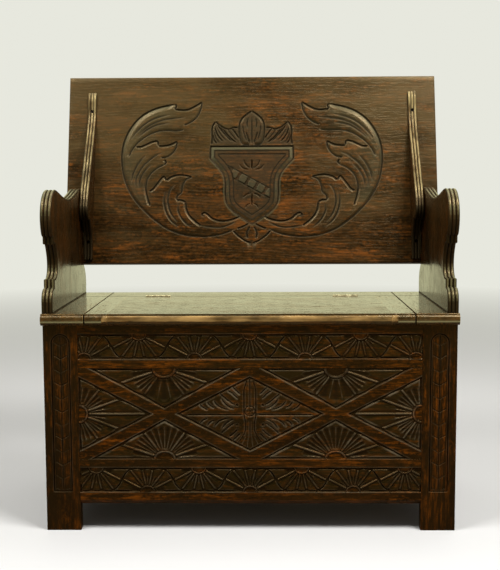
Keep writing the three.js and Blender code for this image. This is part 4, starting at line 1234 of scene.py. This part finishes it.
CREST_FOLDS = [
    [(-86, 351), (-70, 330), (-50, 309)],
    [(-73, 342), (-58, 322), (-39, 305)],
    [(-50, 343), (-41, 330), (-31, 315)],
    [(-92, 345), (-86, 326), (-72, 308)],
    [(-97, 326), (-94, 313), (-87, 303)],
]
CREST_VEINS = [
    [(-80, 347), (-64, 326), (-45, 307)],
    [(-62, 341), (-50, 325), (-36, 309)],
    [(-89, 348), (-79, 328), (-62, 308)],
    [(-95, 337), (-90, 318), (-80, 303)],
    [(-23, 355), (-21, 335), (-13, 308)],
]
TUFT = [
    [(-47, 82), (-33, 68), (-16, 56), (0, 50)],
    [(-8, 99), (-20, 92), (-36, 86)],
    [(-5, 92), (-12, 76), (-10, 62)],
]
CREST_EDGE = [(-101, 300), (-99, 330), (-91, 360), (-57, 341), (-34, 345), (-14, 378), (0, 388)]
CREST_LEAF = [(-5, 300), (-24, 303), (-31, 328), (-31, 352), (-25, 367), (-14, 378), (0, 388)]
CREST_MIDRIB = [(0, 371), (0, 340), (0, 301)]
CREST_INNER = [(-15, 334), (-10, 318), (-5, 303)]
CREST_UPPER = [(-9, 372), (-12, 356), (-10, 342)]
CREST_SHADE = 0.62


def on_back(u, v, depth):
    places = np.outer(u * MM, (1.0, 0.0, 0.0)) + np.outer((v - TOP_HEIGHT / 2) * MM, TOP_UP)
    return places - np.outer((TOP_THICKNESS - depth) * MM, TABLE_NORMAL) + np.array(TABLE_MIDDLE)


def table_top():
    relief = Relief(
        grid_lines(-TOP_HALF, TOP_HALF, BACK_STEP, carved=CARVED_WIDTH, radius=TOP_RADIUS),
        grid_lines(0.0, TOP_HEIGHT, BACK_STEP, carved=CARVED_HEIGHT, radius=TOP_RADIUS),
    )
    for sign in SIDES.values():
        cut = half_cutter(relief, sign)
        scroll(cut)
        crest(cut)
    shade_crest(relief)
    shield(relief)
    relief.round_edges(TOP_RADIUS)
    piece = carved_board("carved_table_top", relief, on_back, TOP_THICKNESS, TOP_CHAMFER)
    dress(piece, "top", oak("back_oak", "across"), ["table_top"], 8)


def half_cutter(relief, sign):
    """Cuts in one half of the back, with the points and widths that the left half has."""
    def cut(points, depth, left, right, fade=0.1, add=False, ink=1.0, dust=0.4, taper=0.0):
        first, second = (right, left) if sign > 0 else (left, right)
        relief.cut(curve(points) * (-sign, 1), depth, first, second, fade, add, ink, dust, taper)
    return cut


def scroll(cut):
    """A long scroll of leaves, with a stem that comes from under the shield."""
    # Pale bloom and painted sheen on the outline's wide inner slope and in a broad band inside its
    # upper part
    cut(OUTER_SCROLL, *OUTER_CUT, dust=0.9, taper=0.5)
    cut(OUTER_SCROLL[:BLOOM_AND_SHEEN_POINTS], 0.0, LEAF_BLOOM_AND_SHEEN_REACH, 1.0, ink=0.0, dust=LEAF_BLOOM_AND_SHEEN)
    for points in LEAF_EDGES:
        cut(points, *LEAF_CUT)
    for points in LEAF_FOLDS:
        cut(points, *FOLD_CUT)
    for points in VEINS:
        cut(points, *VEIN_CUT, add=True, dust=0.35)
    cut(STEM_TOP, *STEM_CUT)
    cut(STEM_LOW, *STEM_VEIN_CUT)


def crest(cut):
    """One half of the leafy plume over the shield, and of the tuft under it."""
    cut(CREST_LEAF, *PLUME_CUT)
    cut(CREST_MIDRIB, *PLUME_MIDRIB_CUT)
    cut(CREST_INNER, *PLUME_INNER_CUT)
    cut(CREST_UPPER, *PLUME_UPPER_CUT)
    for points in CREST_OUTLINES:
        cut(points, *CREST_OUTLINE_CUT)
    for points in CREST_FOLDS:
        cut(points, *CREST_FOLD_CUT)
    for points in CREST_VEINS:
        cut(points, *CREST_VEIN_CUT, dust=0.0)
    for points in TUFT:
        cut(points, *TUFT_CUT)


def shade_crest(relief):
    """The plume is darker than the board round it."""
    half = np.array(CREST_EDGE, float)
    edge = np.vstack([half, half[-2::-1] * (-1, 1)])
    area = relief.near(edge, 4)
    within = inside_outline(relief.u[area], relief.v[area], edge)
    relief.ink[area] = np.maximum(relief.ink[area], CREST_SHADE * smooth_step(within / 3))


def shield(relief):
    """A plain shield with a bevelled frame and a band of lozenges across it."""
    left = np.array(SHIELD_HALF, float)
    right = left[::-1] * (-1, 1)
    lower = curve(np.vstack([left[3:], right[:-3]]))
    outline = np.vstack([left[:3], lower, right[-3:-1]])
    area = relief.near(outline, 12)
    u, v = relief.u[area], relief.v[area]
    inside = inside_outline(u, v, outline)
    inner = inside - SHIELD_FRAME - FRAME_WALL
    field = inner - SHIELD_BORDER
    along = u * math.cos(BAND_SLOPE) + (v - BAND_LEVEL) * math.sin(BAND_SLOPE)
    off = np.abs(-u * math.sin(BAND_SLOPE) + (v - BAND_LEVEL) * math.cos(BAND_SLOPE))
    cell = np.abs((along / BAND_PITCH + 0.5) % 1 - 0.5) * BAND_PITCH + 0.15 * off
    in_band = (off < BAND_HALF + BAND_MARGIN) & (field > BAND_MARGIN)

    wall = SHIELD_DEPTH * np.clip(inside / 1.8 + 0.4, 0, 1)
    bevel = SHIELD_DEPTH - FRAME_FALL * np.clip((inside - FRAME_WALL) / SHIELD_FRAME, 0, 1)
    shape = np.where(inside < FRAME_WALL, wall, bevel)
    shape = np.where(inner > 0, SHIELD_FIELD_DEPTH, shape)
    shape = np.maximum(shape, trench(field, *FIELD_GROOVE))
    shape = np.where(field > 1.0, SHIELD_FIELD_DEPTH, shape)
    blocks = np.where(cell < BAND_BLOCK_HALF, BAND_BLOCK_DEPTH, BAND_GAP_DEPTH)
    banded = np.maximum(blocks, trench(off - BAND_HALF, *BAND_GROOVE))
    shape = np.where(in_band, banded, shape)
    keep = np.where(inside < 0, relief.depth[area], 0)
    relief.depth[area] = np.where(inside > -0.8, np.maximum(shape, keep), relief.depth[area])

    lines = np.minimum(np.abs(inside), np.abs(inner))
    lines = np.minimum(lines, np.where(inner > 0, np.abs(field - 0.6), np.inf))
    lines = np.minimum(lines, np.where(field > BAND_MARGIN, np.abs(off - BAND_HALF), np.inf))
    ink = np.maximum(near_line(lines, INK_REACH), np.where(in_band & (cell > 10), BAND_INK, 0))
    ink = np.where(inside > -2, ink, relief.ink[area])
    relief.ink[area] = np.where(inner > 0, np.maximum(ink, SHIELD_SHADE), ink)
    on_frame = smooth_step((inside - 1.2) / 1.2) * smooth_step((SHIELD_FRAME + 0.6 - inside) / 1.2)
    rising = 0.15 + 0.3 * smooth_step((v - FRAME_PALE_FROM) / 60)
    rising = rising + 0.55 * smooth_step((v - FRAME_BRIGHT_FROM) / 12)
    outer_line = 0.7 * near_line(inside + OUTER_LINE_OFF, 1.3) * (v < OUTER_LINE_TOP)
    pale = np.maximum(on_frame * rising, np.where(in_band & (cell < 9), BAND_FILM, 0))
    before = np.where(inside > -0.8, pale, relief.dust[area])
    relief.dust[area] = np.maximum(before, outer_line)
    for points in SPRIGS:
        for sign in SIDES.values():
            relief.cut(curve(points) * (-sign, 1), *SPRIG_CUT, add=True)


front_panel()
front_rails()
front_legs()
table_top()


# Arms and cleats: boards with reeded edges, drawn again from the outlines of their nodes
REEDS = 3
REED_STEPS = 10
CAD_RINGS = 9
# The outline is taken a third of the way across the first reed, where it is sunk this much
CAD_RING_SINKING = 1 - math.sqrt(1 - (1 / 3) ** 2)
ARM_REED_DEPTH = 3.4
CLEAT_REED_DEPTH = 3.0
BORE_RADIUS = 8.3
# Painted highlight and sheen on the crowns of the arm's reeds that face up
ARM_HIGHLIGHT = 0.22
ARM_SHEEN = 0.6
# Painted highlight on the cleat's reeds above the elbow, more of it towards the top end
CLEAT_END = 90.0
ELBOW_RISE = 8.0
ELBOW_FADE = 45.0
SCREW_HOLE_RADIUS = 4.3
SCREW_HOLE_LENGTH = 40.0
CUT_MARGIN = 5.0


def ring_outline(node, x):
    """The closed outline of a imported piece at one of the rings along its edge."""
    mesh = frame["nodes"][node].data
    keys = {}
    for vertex in mesh.vertices:
        if abs(vertex.co.x - x) < 2e-5:
            keys[vertex.index] = (round(vertex.co.y, 6), round(vertex.co.z, 6))
    links = {}
    for edge in mesh.edges:
        a, b = (keys.get(index) for index in edge.vertices)
        if a and b and a != b:
            links.setdefault(a, set()).add(b)
            links.setdefault(b, set()).add(a)
    start = min(links)
    path = [start]
    before, here = None, start
    while True:
        after = [place for place in sorted(links[here]) if place != before]
        before, here = here, after[0]
        if here == start:
            return np.array(path) / MM
        path.append(here)


def mitres(points):
    """The way inwards at each corner of an outline, as far as its sides move by one."""
    sides = np.roll(points, -1, axis=0) - points
    leaving = sides / np.hypot(*sides.T)[:, None]
    arriving = np.roll(leaving, 1, axis=0)
    mitre = np.stack([-arriving[:, 1] - leaving[:, 1], arriving[:, 0] + leaving[:, 0]], -1)
    mitre /= np.hypot(*mitre.T)[:, None]
    stretch = np.sum(mitre * np.stack([-leaving[:, 1], leaving[:, 0]], -1), axis=1)
    return mitre / np.maximum(stretch, math.sqrt(0.5))[:, None]


def reeded_board(name, node, depth, elbow=None):
    """A board with round reeds along its edge, closed at both faces.

    An arm's reeds get a painted highlight and sheen where they face up and painted shade
    where they face down; a cleat's get a painted highlight above the elbow and painted shade below
    it.
    """
    low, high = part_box(node)
    points = ring_outline(node, low.x + (high.x - low.x) / CAD_RINGS)
    if np.sum(np.cross(points, np.roll(points, -1, axis=0))) < 0:
        points = points[::-1]
    inward = mitres(points)
    count, rings = len(points), REEDS * REED_STEPS
    foot = points[:, 1].min()
    places, offsets = [], []
    for ring in range(rings + 1):
        share = (ring % REED_STEPS) / REED_STEPS if ring < rings else 1.0
        offset = -math.cos(math.pi * share)
        across = (ring // REED_STEPS + (offset + 1) / 2) / REEDS if ring < rings else 1.0
        sunk = depth * (1 - math.sqrt(max(0.0, 1 - offset**2))) - CAD_RING_SINKING * depth
        moved = points + inward * sunk
        if not elbow:
            moved[:, 1] = np.where(points[:, 1] < foot + 0.5, foot, moved[:, 1])
        x = low.x / MM + across * (high.x - low.x) / MM
        places.append(np.column_stack([np.full(count, x), moved]) * MM)
        offsets += [abs(offset)] * count
    around = np.arange(count)
    after = (around + 1) % count
    side = np.stack([around, count + around, count + after, after], -1)
    sides = np.concatenate([side + ring * count for ring in range(rings)])
    faces = sides.tolist() + [around.tolist(), (rings * count + around[::-1]).tolist()]
    piece = new_object(name, np.vstack(places), faces)

    offsets = np.array(offsets)
    height = np.tile(points[:, 1], rings + 1)
    if elbow:
        # Painted highlight above the elbow, painted shade below it
        facing = smooth_step((height - elbow) / ELBOW_FADE)
        top_end = smooth_step((height - height.max() + CLEAT_END) / CLEAT_END)
        wear_and_highlight = np.clip(1.5 + top_end - offsets / 0.5, 0, 1) * facing
        bloom_and_sheen = 0 * wear_and_highlight
        grooves = np.maximum(np.clip((offsets - 0.75) / 0.2, 0, 1), 1 - facing)
    else:
        # Painted highlight and sheen on crowns that face up, painted shade where the edge faces down
        facing = np.tile(smooth_step((0.05 - inward[:, 1]) / 0.3), rings + 1)
        crowns = near_line(offsets, 0.34) * facing
        wear_and_highlight, bloom_and_sheen = ARM_HIGHLIGHT * crowns, ARM_SHEEN * crowns
        grooves = np.maximum(np.clip((offsets - 0.5) / 0.4, 0, 1), 0.7 * (1 - facing))
    for attribute, values in (("hollow", grooves), ("worn", wear_and_highlight), ("dust", bloom_and_sheen)):
        add_attribute(piece.data, attribute, "FACE", np.concatenate([values[sides].mean(1), [0, 0]]))
    return piece


def bar(place, direction, radius, length, corners=32):
    """A round bar from one end along a direction, for cutting a hole."""
    mesh = bpy.data.meshes.new("cutter")
    made = bmesh.new()
    size = {"radius1": radius * MM, "radius2": radius * MM, "depth": length * MM}
    bmesh.ops.create_cone(made, cap_ends=True, segments=corners, **size)
    turn = Vector(direction).to_track_quat("Z", "Y").to_matrix().to_4x4()
    made.transform(Matrix.Translation(Vector(place) + Vector(direction) * length * MM / 2) @ turn)
    made.to_mesh(mesh)
    made.free()
    cutter = bpy.data.objects.new("cutter", mesh)
    bpy.context.scene.collection.objects.link(cutter)
    return cutter


def carve_out(piece, cutters):
    """Cuts the cutters out of a piece and removes them."""
    for cutter in cutters:
        hole = piece.modifiers.new("hole", "BOOLEAN")
        hole.operation = "DIFFERENCE"
        hole.solver = "EXACT"
        hole.object = cutter
    bpy.context.view_layer.update()
    ready = piece.evaluated_get(bpy.context.evaluated_depsgraph_get())
    mesh = bpy.data.meshes.new_from_object(ready)
    piece.modifiers.clear()
    piece.data = mesh
    for cutter in cutters:
        bpy.data.objects.remove(cutter)


def arms_and_cleats():
    for name, sign in SIDES.items():
        pivot = (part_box(f"{name}_pivot_peg")[0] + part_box(f"{name}_pivot_peg")[1]) / 2
        for part, body, slot, grain, depth in (
            ("arm", "box", "arm_oak", "upright", ARM_REED_DEPTH),
            ("cleat", "top", "arm_oak", "leaning", CLEAT_REED_DEPTH),
        ):
            node = f"{name}_{part}"
            low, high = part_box(node)
            elbow = pivot.z / MM + ELBOW_RISE if part == "cleat" else None
            piece = reeded_board(f"reeded_{node}", node, depth, elbow)
            start = Vector((low.x - CUT_MARGIN * MM, pivot.y, pivot.z))
            cutters = [bar(start, (1, 0, 0), BORE_RADIUS, (high.x - low.x) / MM + 2 * CUT_MARGIN)]
            if part == "cleat":
                for level in ("lower", "upper"):
                    head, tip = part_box(f"{node}_{level}_screw")
                    middle = (head + tip) / 2
                    start = middle + TABLE_NORMAL * SCREW_HOLE_LENGTH / 2 * MM
                    cutters.append(bar(start, -TABLE_NORMAL, SCREW_HOLE_RADIUS, SCREW_HOLE_LENGTH))
            carve_out(piece, cutters)
            mark_sharp(piece)
            dress(piece, body, oak(slot, grain), [node], 50 + 2 * (sign > 0) + (part == "arm"))


arms_and_cleats()


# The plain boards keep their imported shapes, with their arrises taken off
PLAIN_BOARDS = {
    "side_oak": {
        "across": ["rear_top_rail", "rear_bottom_rail", "rear_panel"],
        "deep": [f"{side}_{rail}_rail" for side in SIDES for rail in ("top", "bottom")],
        "upright": ["rear_left_leg", "rear_right_leg"]
        + [f"{side}_{part}" for side in SIDES for part in ("front_stile", "rear_stile", "panel")],
    },
    "inner_oak": {
        "across": ["front_floor_batten", "rear_floor_batten", "box_floor"],
        "deep": ["left_seat_bearer", "right_seat_bearer"],
    },
    "seat_oak": {
        "across": ["seat_rear_board", "lid_board"],
        "deep": ["seat_left_end_board", "seat_right_end_board", "lid_left_clamp", "lid_right_clamp"],
    },
    "arm_oak": {
        "across": ["left_pivot_peg", "right_pivot_peg"],
    },
}


def soften(node, width, segments=3):
    weld = node.modifiers.new("weld", "WELD")
    weld.merge_threshold = 1e-5
    merge = node.modifiers.new("merge", "DECIMATE")
    merge.decimate_type = "DISSOLVE"
    merge.angle_limit = math.radians(0.5)
    bevel = node.modifiers.new("bevel", "BEVEL")
    bevel.width = width
    bevel.segments = segments
    bevel.limit_method = "ANGLE"
    bevel.angle_limit = math.radians(40)
    bevel.harden_normals = False
    node.modifiers.new("normals", "WEIGHTED_NORMAL").keep_sharp = False
    return bevel


def plain_boards():
    board = 10
    for slot, grains in PLAIN_BOARDS.items():
        for grain, names in grains.items():
            for name in names:
                node = frame["nodes"][name]
                node.data.materials.clear()
                node.data.materials.append(oak(slot, grain))
                node.data.materials.append(oak(slot, grain, ARRIS_WEAR))
                node.pass_index = board
                board += 1
                soften(node, 1.0 * MM).material = 1
    for name, node in frame["nodes"].items():
        if "hinge" in name or "screw" in name:
            node.data.materials.clear()
            node.data.materials.append(brass if "hinge" in name else iron)
            soften(node, 0.25 * MM, 2)


plain_boards()


# Floor, background and light
BACKGROUND = (0.80, 0.805, 0.73, 1)
FLOOR_COLOR = (0.78, 0.77, 0.75, 1)
FLOOR_BOUNCE = (0.30, 0.25, 0.19, 1)
FLOOR_SIZE_M = 40.0
AMBIENT = 0.11
GLOSS_COLOR = (1.0, 1.0, 0.60, 1)
ROOM_LEVEL = 0.035
CEILING_LEVEL = 0.75
WALL_HEADING = (-0.2, 0.3)
CEILING_HEADING = (0.40, 0.80)
FLOOR_NEAR_M = 1.6
FLOOR_FAR_M = 5.0


def make_floor():
    half = FLOOR_SIZE_M / 2
    corners = [(-half, -half, 0), (half, -half, 0), (half, half, 0), (-half, half, 0)]
    floor = new_object("floor", corners, [(0, 1, 2, 3)])
    shader = Shader(bpy.data.materials.new("floor"))
    seen = shader.add("LightPath").outputs["Is Camera Ray"]
    color = shader.mix(seen, FLOOR_BOUNCE, FLOOR_COLOR)
    look = {"Base Color": color, "Roughness": 0.7, "Specular IOR Level": 0.2}
    paint = shader.add("BsdfPrincipled", look)
    far_color = shader.mix(seen, GLOSS_COLOR, BACKGROUND)
    glow = shader.add("Emission", {"Color": far_color, "Strength": 1.0})
    fade = shader.spread(shader.vector("LENGTH", shader.where()), FLOOR_NEAR_M, FLOOR_FAR_M)
    mixed = shader.either(fade, paint.outputs[0], glow.outputs[0])
    floor.data.materials.append(shader.finish("Material", mixed))


def make_world():
    """Even light all round, with the pale background for the camera.

    Gloss meets a pale wall behind the bench, a pale ceiling and a dim room in front.
    """
    world = bpy.data.worlds.new("studio")
    bpy.context.scene.world = world
    shader = Shader(world)
    rays = shader.add("LightPath").outputs
    heading = shader.add("SeparateXYZ", {0: shader.add("TexCoord").outputs["Generated"]}).outputs
    wall = shader.spread(heading["Y"], *WALL_HEADING, ROOM_LEVEL, 1.0)
    ceiling = shader.spread(heading["Z"], *CEILING_HEADING, ROOM_LEVEL, CEILING_LEVEL)
    even = shader.background((1, 1, 1, 1), AMBIENT)
    gloss = shader.background(GLOSS_COLOR, shader.larger(wall, ceiling))
    shiny = shader.larger(rays["Is Glossy Ray"], rays["Is Transmission Ray"])
    lit = shader.either(shiny, even, gloss)
    seen = shader.background(BACKGROUND, 1.0)
    shader.finish("World", shader.either(rays["Is Camera Ray"], lit, seen))


def make_lamp(name, place, target, size, power):
    data = bpy.data.lights.new(name, "AREA")
    data.shape = "RECTANGLE"
    data.size, data.size_y = size
    data.energy = power
    lamp = bpy.data.objects.new(name, data)
    bpy.context.scene.collection.objects.link(lamp)
    aim = Vector(target) - Vector(place)
    lamp.matrix_world = Matrix.Translation(place) @ aim.to_track_quat("-Z", "Y").to_matrix().to_4x4()


make_floor()
make_world()
make_lamp("key", (1.2, -1.2, 2.9), (0, 0, 0.5), (1.2, 0.8), 78)
make_lamp("fill", (-1.3, -1.05, 3.0), (0, 0, 0.6), (1.2, 1.0), 57)
make_lamp("top", (0.2, 0.6, 3.2), (0, 0, 0.4), (2.2, 1.2), 25)
